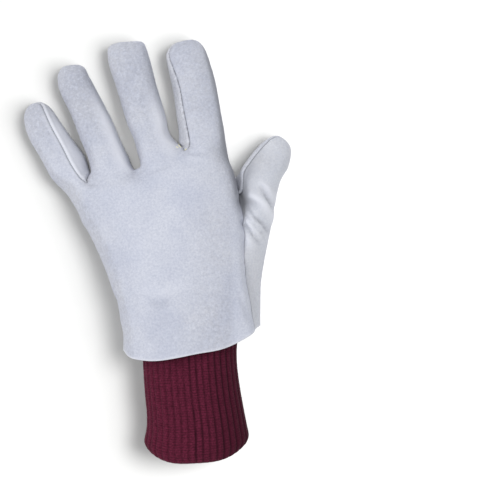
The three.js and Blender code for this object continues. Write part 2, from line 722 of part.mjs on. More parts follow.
// What lies beyond the patch's top edge, as far as the fingers reach.
function abovePatch() {
  const edge = ACROSS.map((a) => [a.knuckleX, a.knuckleY - PATCH_BELOW_WELT]);
  const [first, last] = [edge[0], edge[edge.length - 1]];
  const start = [first[0] - PATCH_CUT.before, first[1] - PATCH_CUT.drop];
  const end = [last[0] + PATCH_CUT.after, last[1]];
  const low = [start, ...edge, end];
  return prism([...low, ...low.map(([x]) => [x, PATCH_CUT.top]).reverse()]);
}

// A slot with a round inner end.
function thumbSlot() {
  const half = SLOT.wide / 2;
  const outline = [[SLOT.toX, SLOT.y - half], [SLOT.toX, SLOT.y + half]];
  for (let step = 0; step <= SLOT_END_STEPS; step++) {
    const angle = Math.PI * (0.5 + step / SLOT_END_STEPS);
    outline.push([
      SLOT.fromX + half * (1 + Math.cos(angle)),
      SLOT.y + half * Math.sin(angle),
    ]);
  }
  return prism(outline);
}

function named(name, geometry, finish) {
  const mesh = new THREE.Mesh(geometry, new THREE.MeshStandardMaterial(finish));
  mesh.name = name;
  return mesh;
}

// Assembly
const FIT_ROUNDS = 10;
const [WELT_STATIONS, WELT_SIDES] = [16, 8];
const skin = subdivide(fitCage(buildCage(), FIT_ROUNDS));
skin.points = limitPoints(skin);
restOnTable(skin);
const normals = vertexNormals(skin);

const WALL = { outer: 0, inner: -LEATHER, inset: SEAM_GAP };
const PATCH = { outer: PATCH_LIFT, inner: PATCH_GAP, inset: PATCH_INSET };
const panel = (name) => leatherSheet(skin, normals, (from) => from === name, WALL);
const palm = leatherSheet(skin, normals, (from) => from.startsWith('palm'), WALL);
const patch = leatherSheet(skin, normals, (from) => from === 'palm_under_patch', PATCH);
const welt = roll(weltPath(skin, normals), WELT_RADIUS, WELT_STATIONS, WELT_SIDES);

const glove = new THREE.Group();
glove.add(
  named('back_panel', panel('back_panel'), SPLIT_LEATHER),
  named('thumb_back', panel('thumb_back'), SPLIT_LEATHER),
  named('palm_panel', palm, PALM_LEATHER),
  named('ring_finger_front', panel('ring_finger_front'), PALM_LEATHER),
  named('middle_finger_front', panel('middle_finger_front'), PALM_LEATHER),
  named('finger_welt', welt, PALM_LEATHER),
  named('palm_patch', cutAway(patch, [abovePatch(), thumbSlot()]), PALM_LEATHER),
  named('pulse_tab', pulseTab(), PALM_LEATHER),
  named('knit_wrist', knitWrist(skin, normals), WORSTED_KNIT),
);

// The origin goes under the middle of the glove's outline.
const middle = new THREE.Box3().setFromObject(glove).getCenter(point(0, 0, 0));
glove.position.set(-middle.x, -middle.y, 0);

export default glove;
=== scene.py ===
# %% [markdown]
# # An insulated split-leather work glove
#
# The glove is for the left hand. It lies palm down, fingers away from us, and is photographed
# from straight above. A glove like this is sewn from flat pieces of suede: one large piece for
# the back of the hand and all four finger backs, one for the palm, two small finger fronts, a
# wing for the thumb, a second layer over the palm, and a ribbed knit wrist.
#
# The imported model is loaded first. It fixes every size and place, and the pieces made here
# stand in for its plain solids.

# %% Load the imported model
import math

import bpy
import numpy as np
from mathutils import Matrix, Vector, bvhtree, kdtree, noise


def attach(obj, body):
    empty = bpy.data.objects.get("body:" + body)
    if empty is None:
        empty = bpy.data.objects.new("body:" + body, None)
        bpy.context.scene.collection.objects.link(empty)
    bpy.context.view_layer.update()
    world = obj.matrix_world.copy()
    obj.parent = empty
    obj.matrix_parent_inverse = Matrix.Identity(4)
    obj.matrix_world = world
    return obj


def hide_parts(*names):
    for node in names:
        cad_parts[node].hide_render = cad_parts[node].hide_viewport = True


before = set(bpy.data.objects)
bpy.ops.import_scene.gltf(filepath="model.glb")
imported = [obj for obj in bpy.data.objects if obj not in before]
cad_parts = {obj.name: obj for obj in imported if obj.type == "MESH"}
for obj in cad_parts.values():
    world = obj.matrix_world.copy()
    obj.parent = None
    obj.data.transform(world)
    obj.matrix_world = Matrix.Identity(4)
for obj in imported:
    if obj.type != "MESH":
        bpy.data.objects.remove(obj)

for name in ("Cube", "Light", "Camera"):  # what a new Blender file starts with
    if name in bpy.data.objects:
        bpy.data.objects.remove(bpy.data.objects[name])
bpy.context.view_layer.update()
print("nodes:", sorted(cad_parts))

# %% [markdown]
# ## Camera
#
# The picture looks straight down from about a metre and a half, through a long lens, so the
# glove hardly tapers. In Blender a camera without any rotation already looks down with +Y up.
# The lens is chosen so that one pixel of a 500 pixel picture covers 0.72 mm of the glove, and
# the camera stands right of the glove's middle, because the glove fills the left of the frame.

# %% Camera
MM = 0.001
CAMERA_PLACE, LENS, SENSOR = (0.06686, -0.00047, 1.5), 148, 36
scene = bpy.context.scene
camera_data = bpy.data.cameras.new("overhead")
camera_data.lens, camera_data.sensor_width = LENS, SENSOR
camera = bpy.data.objects.new("overhead", camera_data)
camera.location = CAMERA_PLACE
scene.collection.objects.link(camera)
scene.camera = camera
print("camera at", CAMERA_PLACE, "lens", LENS)

# %% [markdown]
# ## Floor and light
#
# The glove lies on a pale table. A white world lights it evenly from all round, as a light tent
# does. The Standard view keeps white paper white.

# %% Floor
TABLE_HALF, TABLE_GREY = 3, (0.50, 0.50, 0.495, 1)
scene.view_settings.view_transform = "Standard"


def set_inputs(node, values):
    """Sets sockets of a node by their names."""
    for name, value in values.items():
        node.inputs[name].default_value = value


table = bpy.data.meshes.new("table_top")
table.from_pydata([(x * TABLE_HALF, y * TABLE_HALF, 0)
                   for x, y in ((-1, -1), (1, -1), (1, 1), (-1, 1))], [], [(0, 1, 2, 3)])
white_card = bpy.data.materials.new("white_card")
white_card.use_nodes = True
set_inputs(white_card.node_tree.nodes["Principled BSDF"],
           {"Base Color": TABLE_GREY, "Roughness": 1, "Specular IOR Level": 0})
table.materials.append(white_card)
floor = bpy.data.objects.new("table_top", table)
only_table = bpy.data.collections.new("only_table")
scene.collection.children.link(only_table)
only_table.objects.link(floor)
print("table", 2 * TABLE_HALF, "metres wide")

# %% [markdown]
# A soft lamp above the glove, which spares the table, gives the leather its form. The table has
# lamps of its own: a far one from the right throws the soft shadow to the left, a near one
# spreads it round the fingertips and the knit, one from straight above keeps it light, and a
# small spot brightens the gaps between the fingers. Light linking does that: a lamp's receivers
# are a collection that holds or leaves out the table, so the shadow can be shaped without one
# side of the glove getting brighter.

# %% Lamps
FILL_STRENGTH, FILL_COLOUR = 0.62, (0.98, 0.985, 1.0, 1)


def add_lamp(name, kind, strength, size, place=(0, 0, 0), turn=(0, 0)):
    """A lamp. Its size is degrees across for a sun, and a radius in metres for the others."""
    data = bpy.data.lights.new(name, kind)
    data.energy = strength
    if kind == "SUN":
        data.angle = math.radians(size)
    else:
        data.shadow_soft_size = size
    lamp = bpy.data.objects.new(name, data)
    lamp.location = place
    lamp.rotation_euler = (math.radians(turn[0]), math.radians(turn[1]), 0)
    scene.collection.objects.link(lamp)
    return lamp


form_lamp = add_lamp("form_lamp", "SUN", 1.81, 50, turn=(-6, -20))
all_but_table = bpy.data.collections.new("all_but_table")
form_lamp.light_linking.receiver_collection = all_but_table
all_but_table.objects.link(floor)
all_but_table.collection_objects[0].light_linking.link_state = "EXCLUDE"

GAP_SPOT_CONE = 4.6
table_lamp = add_lamp("table_lamp", "SUN", 2.5, 26, turn=(-6, 26))
top_lamp = add_lamp("top_lamp", "SUN", 0.95, 12)
near_lamp = add_lamp("near_lamp", "POINT", 16.2, 0.22, place=(0.40, -0.06, 0.50))
gap_spot = add_lamp("gap_spot", "SPOT", 22.0, 0.03, place=(-0.010, 0.074, 1.2))
gap_spot.data.spot_size, gap_spot.data.spot_blend = math.radians(GAP_SPOT_CONE), 1
for lamp in (table_lamp, near_lamp, top_lamp, gap_spot):
    lamp.light_linking.receiver_collection = only_table

world = bpy.data.worlds.new("white_room")
world.use_nodes = True
set_inputs(world.node_tree.nodes["Background"],
           {"Color": FILL_COLOUR, "Strength": FILL_STRENGTH})
scene.world = world

# %% [markdown]
# ## The shape of the sewn shell
#
# A sewn glove has no straight edge anywhere, so it is made as a cage: a few sections across
# the hand and round each finger, joined by four-sided faces. A Subdivision Surface modifier
# rounds the cage into smooth leather. Sculpting would give the same look, but sections keep
# every size exact and are easy to change. The tables are in millimetres, and they are the
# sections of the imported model.

# %% Sections across the hand
GLOVE_SHIFT = (0.6152, -1.1895)
LEATHER = 1.5
THUMB_EDGE, SIDE_SEAM, PALM_START, ROUND = 10, 11, 12, 20
# share across the hem, sag of the hem, and x, y, z of the knuckle line
ACROSS = [
    (0.0, 0.0, -68.8, 43.9, 13), (0.045, 4.4, -63.5, 45.5, 25), (0.13, 8.0, -57.0, 47.5, 31),
    (0.25, 10.3, -50.4, 49.5, 30), (0.37, 10.6, -33.0, 52.5, 38),
    (0.49, 10.2, -15.8, 56.5, 35), (0.61, 9.8, 2.5, 62.5, 41), (0.73, 9.6, 19.8, 72.0, 35),
    (0.85, 7.2, 34.5, 71.0, 40), (0.955, 3.2, 46.0, 69.0, 31), (1.0, 0.0, 50.4, 67.0, 19),
]
ROW_HEADS = ("little_x", "little_y", "little_z", "thumb_x", "thumb_y", "thumb_z", "side_x",
             "side_y", "side_z", "crown", "knuckle", "sag", "palm_z")
ROWS = [dict(zip(ROW_HEADS, row)) for row in [
    (-24.8, -71.3, 19, 70.6, -56.2, 29, 72.5, -54.5, 11, 48, 0.0, 1.0, 0.0),
    (-25.4, -54.0, 18, 67.6, -37.5, 30, 73.4, -37.0, 11, 47, 0.0, 0.7, 0.2),
    (-31.0, -33.1, 17, 63.6, -12.0, 31, 75.2, -14.5, 12, 48, 0.1, 0.4, 1.2),
    (-39.1, -10.1, 16, 62.2, 15.5, 30, 60.0, 12.0, 2, 49, 0.25, 0.15, 1.2),
    (-50.1, 13.7, 15, 58.0, 42.3, 22, 52.8, 39.5, 8, 47, 0.5, 0.0, 1.2),
    (-61.0, 33.8, 14, 54.2, 56.5, 20, 50.0, 54.5, 8, 44, 0.8, 0.0, 1.6),
]]
HEEL_ROW, CROTCH_ROW, KNUCKLE_ROW = 2, 4, 6
# share across the palm and rise above its flat
PALM_ACROSS = [(0.875, 0.0), (0.735, 0.0), (0.61, 0.0), (0.49, 0.0), (0.37, 0.0), (0.25, 0.0),
               (0.14, 0.3), (0.045, 4.0)]
KNUCKLE_PALM_Z = 4.6
KNUCKLE_SIDE = (47.0, 65.5, 7.5)
CROTCHES = [(-48.8, 55.0, 14), (-15.5, 59.6, 16), (15.6, 75.6, 17)]
print(len(ROWS), "rows of", ROUND, "points")

# %% [markdown]
# Each finger is a stack of rounded rings from its root to its tip. A ring has a centre, a
# width, a height and a lean. On the index and little finger the seam runs over the back, so
# their rings also say at which angle it lies.

# %% Rings of the fingers and thumb
RING_ANGLES = [180, 135, 90, 45, 0, -45, -90, -135]
THUMB_ANGLES = [143, 100, 50, -5, -45, -90, -135, -178]
# x, y, z, wide, high, lean and seam angle
FINGERS = {
    "little": [
        (-65.1, 59.9, 13.5, 27.6, 26.0, 31, 76), (-72.6, 72.2, 12.2, 26.7, 25.0, 32, 71),
        (-80.5, 84.1, 11.2, 25.3, 23.6, 32, 64), (-85.8, 94.0, 10.8, 23.0, 21.8, 29, 58),
        (-88.6, 101.4, 10.4, 18.2, 17.0, 24, 52), (-89.6, 106.0, 10.2, 9.2, 8.0, 18, 48)],
    "ring": [
        (-37.1, 69.1, 18.0, 26.4, 28.0, 24, None), (-43.8, 85.2, 14.6, 26.0, 26.0, 24, None),
        (-51.2, 101.9, 11.8, 24.4, 24.2, 24, None), (-58.7, 116.7, 11.0, 23.8, 22.4, 24, None),
        (-62.7, 126.7, 10.6, 21.2, 18.4, 19, None), (-63.9, 132.9, 10.4, 12.4, 8.6, 14, None)],
    "middle": [
        (-3.7, 79.3, 20.5, 30.0, 30.0, 17, None), (-10.1, 99.6, 16.5, 28.1, 27.5, 17, None),
        (-16.1, 119.9, 12.8, 27.8, 26.2, 15, None), (-21.0, 136.5, 11.9, 29.3, 24.8, 12, None),
        (-22.8, 145.8, 11.4, 27.4, 20.0, 9, None), (-23.1, 151.2, 11.2, 17.6, 9.0, 8, None)],
    "index": [
        (31.6, 81.5, 20.5, 32.6, 30.0, 10, 121), (29.0, 100.3, 16.5, 31.5, 27.5, 10, 128),
        (25.6, 119.9, 12.8, 31.0, 26.2, 11, 130), (21.3, 136.5, 11.9, 30.0, 24.6, 13, 140),
        (18.9, 145.8, 11.4, 25.6, 19.6, 14, 154), (18.2, 151.4, 11.2, 13.6, 8.6, 12, 150)],
}
THUMB = [
    (73.4, 53.1, 14.6, 29.4, 28.6, -24, None), (80.6, 64.7, 13.4, 27.2, 26.6, -27, None),
    (86.3, 74.2, 12.6, 21.4, 21.4, -30, None), (89.6, 80.0, 12.2, 11.0, 10.4, -33, None)]
THUMB_PATCH_RINGS = 4
print({name: len(rings) for name, rings in FINGERS.items()}, "thumb", len(THUMB))

# %% [markdown]
# A row across the hand rises in a rounded arch over the back and returns almost flat under the
# palm. A superellipse gives both the arch and the finger rings a fuller curve than an ellipse.

# %% Points of a row and of a ring
BACK_SQUARENESS, FINGER_SQUARENESS, PALM_FOLLOWS_BACK = 2.5, 2.25, 0.75


def lerp(a, b, t):
    return a + (b - a) * t


def powered(t, exponent):
    """A sine or cosine bent towards a superellipse of the given exponent."""
    return np.sign(t) * np.abs(t) ** (2 / exponent)


def back_point(row, column):
    hem_share, hem_sag, knuckle_x, knuckle_y, _ = ACROSS[column]
    first, last = ACROSS[0], ACROSS[THUMB_EDGE]
    knuckle_share = (knuckle_x - first[2]) / (last[2] - first[2])
    share = lerp(hem_share, knuckle_share, row["knuckle"])
    bow = (knuckle_y - lerp(first[3], last[3], knuckle_share)) * row["knuckle"]
    arch = (1 - abs(2 * share - 1) ** BACK_SQUARENESS) ** (1 / BACK_SQUARENESS)
    edge_z = lerp(row["little_z"], row["thumb_z"], share)
    return (lerp(row["little_x"], row["thumb_x"], share),
            lerp(row["little_y"], row["thumb_y"], share) + bow - hem_sag * row["sag"],
            edge_z + (row["crown"] - edge_z) * arch)


def hand_row(row):
    points = [back_point(row, column) for column in range(THUMB_EDGE + 1)]
    points.append((row["side_x"], row["side_y"], row["side_z"]))
    for column in range(PALM_START, ROUND):
        share, rise = PALM_ACROSS[column - PALM_START]
        above = points[ROUND - column]
        straight_y = lerp(row["little_y"], row["side_y"], share)
        points.append((lerp(row["little_x"], row["side_x"], share),
                       lerp(straight_y, above[1], PALM_FOLLOWS_BACK), row["palm_z"] + rise))
    return points


def knuckle_row():
    points = [across[2:] for across in ACROSS] + [KNUCKLE_SIDE]
    for column in range(PALM_START, ROUND):
        above = points[ROUND - column]
        points.append((above[0], above[1], KNUCKLE_PALM_Z + PALM_ACROSS[column - PALM_START][1]))
    return points


def ring_points(ring, angles, seam_column):
    x, y, z, wide, high, lean, seam = ring
    turned = list(angles)
    if seam is not None:
        turned[seam_column] = seam
        turned[2] = (turned[1] + turned[3]) / 2
    points = []
    for angle in map(math.radians, turned):
        out = wide / 2 * powered(math.cos(angle), FINGER_SQUARENESS)
        up = high / 2 * powered(math.sin(angle), FINGER_SQUARENESS)
        points.append((x + out * math.cos(math.radians(lean)),
                       y + out * math.sin(math.radians(lean)), z + up))
    return points


print("hem row starts at", [round(v, 1) for v in hand_row(ROWS[0])[0]])

# %% [markdown]
# Now the cage is joined up. Every face remembers which leather panel it belongs to, so the
# finished skin can be cut along the real seams. The thumb starts from an opening left in the
# side of the hand, and each fingertip is closed by one face of the back and one of the front.

# %% Join the cage
PANELS = ["back", "thumb_wing", "palm", "palm_under_patch", "ring_front", "middle_front"]
cage_points, cage_faces, cage_panels = [], [], []


def add_points(points):
    start = len(cage_points)
    cage_points.extend(points)
    return list(range(start, len(cage_points)))


def add_face(corners, panel):
    cage_faces.append(corners)
    cage_panels.append(PANELS.index(panel))


def hand_panel(row, column):
    beside_thumb = column in (THUMB_EDGE, SIDE_SEAM)
    if beside_thumb and HEEL_ROW <= row < CROTCH_ROW:
        return None
    if column < THUMB_EDGE:
        return "back"
    if column == THUMB_EDGE and row < HEEL_ROW:
        return "thumb_wing"
    covered = row >= HEEL_ROW and SIDE_SEAM <= column < ROUND - 1
    return "palm_under_patch" if covered else "palm"


def loft_digit(rings, base, seam_from, seam_to, back, front_of):
    last = base
    for step, ring in enumerate(rings):
        following = add_points(ring)
        for side in range(len(base)):
            after = (side + 1) % len(base)
            panel = back if seam_from <= side < seam_to else front_of(side, step)
            add_face([last[side], last[after], following[after], following[side]], panel)
        last = following
    add_face(last[seam_from:seam_to + 1], back)
    add_face(last[seam_to:] + last[:seam_from + 1], front_of(len(base) - 1, 0))


rows = [add_points(hand_row(row)) for row in ROWS] + [add_points(knuckle_row())]
for row in range(KNUCKLE_ROW):
    for column in range(ROUND):
        after = (column + 1) % ROUND
        if hand_panel(row, column):
            add_face([rows[row][column], rows[row][after], rows[row + 1][after],
                      rows[row + 1][column]], hand_panel(row, column))

k, gap = rows[KNUCKLE_ROW], add_points(CROTCHES)
finger_roots = {
    "little": ([k[0], k[1], k[2], k[3], gap[0], k[17], k[18], k[19]], 0, 3, "palm"),
    "ring": ([gap[0], k[3], k[4], k[5], gap[1], k[15], k[16], k[17]], 0, 4, "ring_front"),
    "middle": ([gap[1], k[5], k[6], k[7], gap[2], k[13], k[14], k[15]], 0, 4, "middle_front"),
    "index": ([gap[2], k[7], k[8], k[9], k[10], k[11], k[12], k[13]], 1, 4, "palm"),
}
SEAM_COLUMN = {"little": 3, "index": 1}
for name, (root, seam_from, seam_to, front) in finger_roots.items():
    rings = [ring_points(ring, RING_ANGLES, SEAM_COLUMN.get(name)) for ring in FINGERS[name]]
    loft_digit(rings, root, seam_from, seam_to, "back", lambda side, step, f=front: f)

heel, root, crotch = rows[HEEL_ROW:CROTCH_ROW + 1]
opening = [crotch[THUMB_EDGE], root[THUMB_EDGE], heel[THUMB_EDGE], heel[SIDE_SEAM],
           heel[PALM_START], root[PALM_START], crotch[PALM_START], crotch[SIDE_SEAM]]
thumb_rings = [ring_points(ring, THUMB_ANGLES, None) for ring in THUMB]
halfway = [tuple(lerp(a, b, 0.5) for a, b in zip(p, cage_points[i]))
           for p, i in zip(thumb_rings[0], opening)]
loft_digit([halfway] + thumb_rings, opening, 0, 3, "thumb_wing",
           lambda side, step: "palm_under_patch" if side in (4, 5) and step < THUMB_PATCH_RINGS
           else "palm")
print("cage:", len(cage_points), "points,", len(cage_faces), "faces")

# %% [markdown]
# Subdivision pulls a surface inside its cage, as a rubber skin would shrink. The cage is
# therefore pushed out a few times, each time by what the smooth surface still lacks, until the
# surface runs through the section points. The modifier puts the cage's own points first in
# its result, so the two lists can be compared directly.

# %% Fit the smooth skin to the sections
cage_mesh = bpy.data.meshes.new("cage")
cage_mesh.from_pydata(cage_points, [], cage_faces)
cage_mesh.attributes.new("panel", "INT", "FACE").data.foreach_set("value", cage_panels)
cage = bpy.data.objects.new("cage", cage_mesh)
scene.collection.objects.link(cage)
rounding = cage.modifiers.new("rounding", "SUBSURF")
rounding.use_limit_surface = True
rounding.quality = 5
rounding.levels = 1


def read(collection, name, width, kind=float):
    values = np.empty(len(collection) * width, kind)
    collection.foreach_get(name, values)
    return values.reshape(-1, width) if width > 1 else values


def evaluated(obj):
    bpy.context.view_layer.update()
    return obj.evaluated_get(bpy.context.evaluated_depsgraph_get()).to_mesh()


FITTINGS = 10
wanted = np.array(cage_points)
pushed = wanted.copy()
for _ in range(FITTINGS):
    reached = read(evaluated(cage).vertices, "co", 3)[:len(wanted)]
    pushed += wanted - reached
    cage_mesh.vertices.foreach_set("co", pushed.ravel())
    cage_mesh.update()
    cage.update_tag()
print("furthest from a section point:", round(float(np.abs(wanted - reached).max()), 4), "mm")

# %% [markdown]
# Four levels of subdivision give faces smaller than a millimetre, about one pixel of the
# picture. From here on the skin is handled as arrays of numbers: where each point is, which way
# it faces, and which panel each face is in. NumPy moves a hundred thousand points at once.

# %% Read the fine skin
rounding.levels = 4
cage.update_tag()
fine = evaluated(cage)
place = read(fine.vertices, "co", 3) + [*GLOVE_SHIFT, 0]
plan = place[:, :2]
facing = read(fine.vertex_normals, "vector", 3)
quads = read(fine.loops, "vertex_index", 1, int).reshape(-1, 4)
panel_of = read(fine.attributes["panel"].data, "value", 1, int)
bpy.data.objects.remove(cage)
print("skin:", len(place), "points,", len(quads), "faces")

# %% [markdown]
# ## Where the seams run
#
# Two sheets of leather meet wherever the faces on the two sides of an edge belong to different
# panels, and the leather ends at the hem, where an edge has only one face. A k-d tree then
# tells for every point of the skin how far the nearest seam or hem is. The patch over the palm
# is a second layer, so its outline isn't a seam in the shell.

# %% Find seams and hem
BACK, THUMB_WING, PALM, UNDER_PATCH, RING_FRONT, MIDDLE_FRONT = range(len(PANELS))
shell_of = np.where(panel_of == UNDER_PATCH, PALM, panel_of)


def edges_of(faces):
    """Every edge once, with the two faces beside it, or -1 where there is only one."""
    ends = np.sort(np.concatenate([faces[:, [i, (i + 1) % 4]] for i in range(4)]), axis=1)
    owner = np.tile(np.arange(len(faces)), 4)
    order = np.lexsort((ends[:, 1], ends[:, 0]))
    ends, owner = ends[order], owner[order]
    twin = np.append((ends[1:] == ends[:-1]).all(1), False)
    first = ~np.insert(twin[:-1], 0, False)
    other = np.where(twin, np.roll(owner, -1), -1)
    return ends[first], owner[first], other[first]


def tree_of(points):
    tree = kdtree.KDTree(len(points))
    for i, p in enumerate(points):
        tree.insert(p, i)
    tree.balance()
    return tree


def nearest(points, targets):
    """For each point, the number of its nearest target and how far that is."""
    tree = tree_of(targets)
    found = [tree.find(p) for p in points]
    return np.array([f[1] for f in found]), np.array([f[2] for f in found])


ends, face_a, face_b = edges_of(quads)
hem_points = place[np.unique(ends[face_b < 0])]
seam_edges = ends[(face_b >= 0) & (shell_of[face_a] != shell_of[face_b])]
seam_points = place[np.unique(seam_edges)]
between = place[seam_edges].mean(1) - [*GLOVE_SHIFT, 0]
on_wing_side = (between[:, 0] > 50) & (between[:, 1] < 40) & (between[:, 2] > 18)
seam_number, seam_far = nearest(place, seam_points)
hem_number, hem_far = nearest(place, hem_points)
seam_spot, hem_spot = seam_points[seam_number], hem_points[hem_number]
print("seam points:", len(seam_points), "hem points:", len(hem_points))

# %% [markdown]
# ## Relief of the leather
#
# The relief is written as small heights that are added along the surface, in code rather than
# by sculpting, so that it can be repeated and measured. A cloth simulation would move the
# outline, which has to stay where it is. Two curves are used over and over, for heights here
# and for dirt later: a hill, which is 1 in its middle and dies away round it, and a ramp, which
# goes from 0 to 1 between two values. Smooth noise makes the lumps.

# %% Hills, ramps and lumps
def hill(far, reach):
    return np.exp(-(far / reach) ** 2)


def ramp(values, start, end):
    return np.clip((values - start) / (end - start), 0, 1)


def unit(ways):
    """The same directions, each one long."""
    return ways / np.linalg.norm(ways, axis=-1, keepdims=True)


def field(points, size, seed):
    """Smooth noise at each point, with lumps of the given size in millimetres."""
    offset = Vector((seed * 17.3, seed * 5.1, seed * 9.7))
    return np.array([noise.noise(Vector(p) / size + offset) for p in points])


print("hill:", hill(np.arange(4), 2).round(2), "ramp:", ramp(np.arange(4), 0, 2))

# %% [markdown]
# A glove is sewn inside out and turned, so each seam pulls the leather down into a narrow
# groove with a soft roll on both sides, and the thread gathers it into short puckers. Thick
# suede over a lining also never lies quite even.

# %% Seam grooves, puckers and soft unevenness
GROOVE_DEPTH, GROOVE_REACH, ROLL_HEIGHT, ROLL_REACH, ROLL_PLACE = 0.62, 0.8, 0.34, 1.1, 2.2
wing_side = nearest(place, place[np.unique(seam_edges[on_wing_side])])[1]
tight = 1 - 0.4 * hill(wing_side, 6.0)
groove = -GROOVE_DEPTH * hill(seam_far, GROOVE_REACH) * tight
roll = ROLL_HEIGHT * hill(seam_far - ROLL_PLACE, ROLL_REACH) * tight
puckers = 0.30 * field(seam_spot, 3.4, 1) * np.exp(-seam_far / 4.0)
uneven = 0.85 * field(place, 34, 2) + 0.34 * field(place, 13, 3) + 0.09 * field(place, 4.5, 4)
wavy_hem = 0.8 * field(hem_spot, 13, 5) * np.exp(-hem_far / 7.0)
away = 1 - hill(seam_far, 5.0)
# x, y, reach and push of small bumps on the outer edge and at the blunt fingertips
BUMPS = [(-52.0, 21.6, 6, 0.9), (-30.8, -36.7, 5, -0.9), (-25.5, -51.1, 5, 0.8),
         (-67.9, 130.8, 3, 0.8), (-53.3, 132.3, 3, 0.6), (-35.2, 146.5, 4, 0.5),
         (-20.0, 152.4, 9, -1.3), (18.4, 153.0, 8, -0.6), (66.0, -46.0, 6, -0.6)]
bumps = np.zeros(len(place))
for x, y, reach, push in BUMPS:
    bumps += push * hill(np.linalg.norm(plan - np.array((x, y)) - GLOVE_SHIFT, axis=1), reach)
relief = groove + roll + puckers + uneven * away + wavy_hem + bumps
print("relief from", round(relief.min(), 2), "to", round(relief.max(), 2), "mm")

# %% [markdown]
# The thumb wing bends where it leaves the hand, and there the thick leather buckles into
# slanting folds: rounded ridges with narrow creases between them. Each is a row in a table, a
# line drawn on the glove as seen from above, with a height and a width. A fold fades out
# towards both ends of its line. In the crotch of the thumb the wing also dives in under the back
# of the hand, which with painted shade makes the darkest spot of the glove.

# %% Folds
# height, width, and points x, y along the fold, all in millimetres
FOLDS = [
    (-1.9, 3.4, [(58.6, 38.4), (62.6, 35.0), (68.0, 32.6), (74.0, 30.0)]),
    (-1.3, 3.0, [(64.0, 56.0), (61.4, 50.0), (61.2, 44.0), (63.0, 38.0)]),
    (2.6, 3.0, [(64.0, 41.0), (70.8, 37.6), (77.4, 32.8), (81.0, 25.4), (82.0, 18.0)]),
    (1.6, 2.2, [(72.0, 50.0), (78.6, 45.4), (82.6, 38.4), (83.6, 32.0)]),
    (-2.1, 1.3, [(73.0, 47.0), (77.2, 41.4), (80.6, 34.0), (82.6, 28.0)]),
    (-2.1, 1.2, [(63.0, 31.0), (70.1, 23.9), (76.6, 17.6), (80.2, 11.4)]),
    (1.2, 1.5, [(62.0, 28.6), (68.2, 22.6), (75.0, 15.6), (79.4, 8.6)]),
    (-1.0, 1.0, [(62.4, 26.6), (67.4, 21.4), (73.4, 14.4), (77.6, 7.6)]),
    (1.2, 1.8, [(60.6, 25.4), (65.6, 19.4), (71.6, 12.4), (76.6, 5.4)]),
    (-1.9, 1.2, [(58.6, 22.4), (64.2, 16.6), (69.8, 10.2), (74.4, 3.4)]),
    (1.0, 2.4, [(59.0, 15.6), (64.0, 9.0), (69.8, 0.6)]),
    (-1.0, 2.6, [(62.6, -6.0), (65.6, -22.0), (69.6, -40.0), (71.4, -58.0)]),
    (-0.8, 1.1, [(20.6, 70.6), (26.5, 68.6), (33.6, 68.2), (38.0, 68.8)]),
    (-0.6, 1.1, [(-7.6, 53.8), (2.0, 57.4), (11.0, 60.6)]),
    (0.4, 2.0, [(20.0, 66.8), (26.9, 64.6), (34.2, 65.0)]),
    (-0.5, 1.2, [(-12.0, 55.0), (-8.5, 58.4), (-5.6, 62.4)]),
    (-0.5, 1.2, [(-52.0, 49.6), (-46.4, 47.0), (-41.0, 47.4)]),
    (-0.7, 2.6, [(-6.0, -36.0), (2.6, -38.4), (12.0, -36.6)]),
    (0.6, 4.0, [(-12.0, -27.0), (4.0, -30.0), (22.0, -26.0)]),
    (-0.6, 1.6, [(57.0, -28.0), (62.4, -40.0), (66.8, -54.0)]),
]


def walked(line):
    """How far along a line of points each of them is."""
    return np.concatenate([[0], np.cumsum(np.linalg.norm(np.diff(line, axis=0), axis=1))])


def beside(points, line):
    """Distance of each point from a line of points, and where along the line that is, 0 to 1."""
    corners = np.array(line, float)
    stops = walked(corners)
    best, along = np.full(len(points), np.inf), np.zeros(len(points))
    for start, end, before, after in zip(corners, corners[1:], stops, stops[1:]):
        t = np.clip((points - start) @ (end - start) / (after - before) ** 2, 0, 1)
        far = np.linalg.norm(points - start - t[:, None] * (end - start), axis=1)
        nearer = far < best
        best[nearer] = far[nearer]
        along[nearer] = lerp(before, after, t[nearer]) / stops[-1]
    return best, along


upper = np.clip(facing[:, 2] * 3.5, 0, 1) * ramp(place[:, 2], 6, 12)
folded = np.zeros(len(place))
for height, width, line in FOLDS:
    far, along = beside(plan, np.array(line) + GLOVE_SHIFT)
    folded += height * hill(far, width) * np.sin(math.pi * along) ** 0.6 * upper
TUCK_DEPTH, TUCK_WIDTH, TUCK_LINE = 9.0, 4.4, [(55.6, 50.0), (57.6, 37.6), (61.6, 22.0)]
far, along = beside(plan, np.array(TUCK_LINE) + GLOVE_SHIFT)
tucked = TUCK_DEPTH * hill(far, TUCK_WIDTH) * np.sin(math.pi * along) * ramp(place[:, 2], 10, 14)
print("folds from", round(folded.min(), 2), "to", round(folded.max(), 2), "mm")

# %% [markdown]
# Between the ring and middle finger the leather is turned over a round bend, so the gap ends in
# a small U. The points near its end are moved apart, away from the middle of the gap, and the
# end itself a little towards the wrist. Farther up, both sides of the middle finger are drawn
# back, which keeps its two gaps open.

# %% Round and open the gaps
GAP_HALF, GAP_OPEN, GAP_DEEPER, INDEX_GAP_OPEN = 2.1, 2.4, 1.8, 1.8


def from_gap(end, lean):
    """How far each point is up a gap and to the right of it, and those two directions."""
    up_way = np.array((-math.sin(math.radians(lean)), math.cos(math.radians(lean))))
    right_way = np.array((up_way[1], -up_way[0]))
    return (plan - end) @ up_way, (plan - end) @ right_way, up_way, right_way


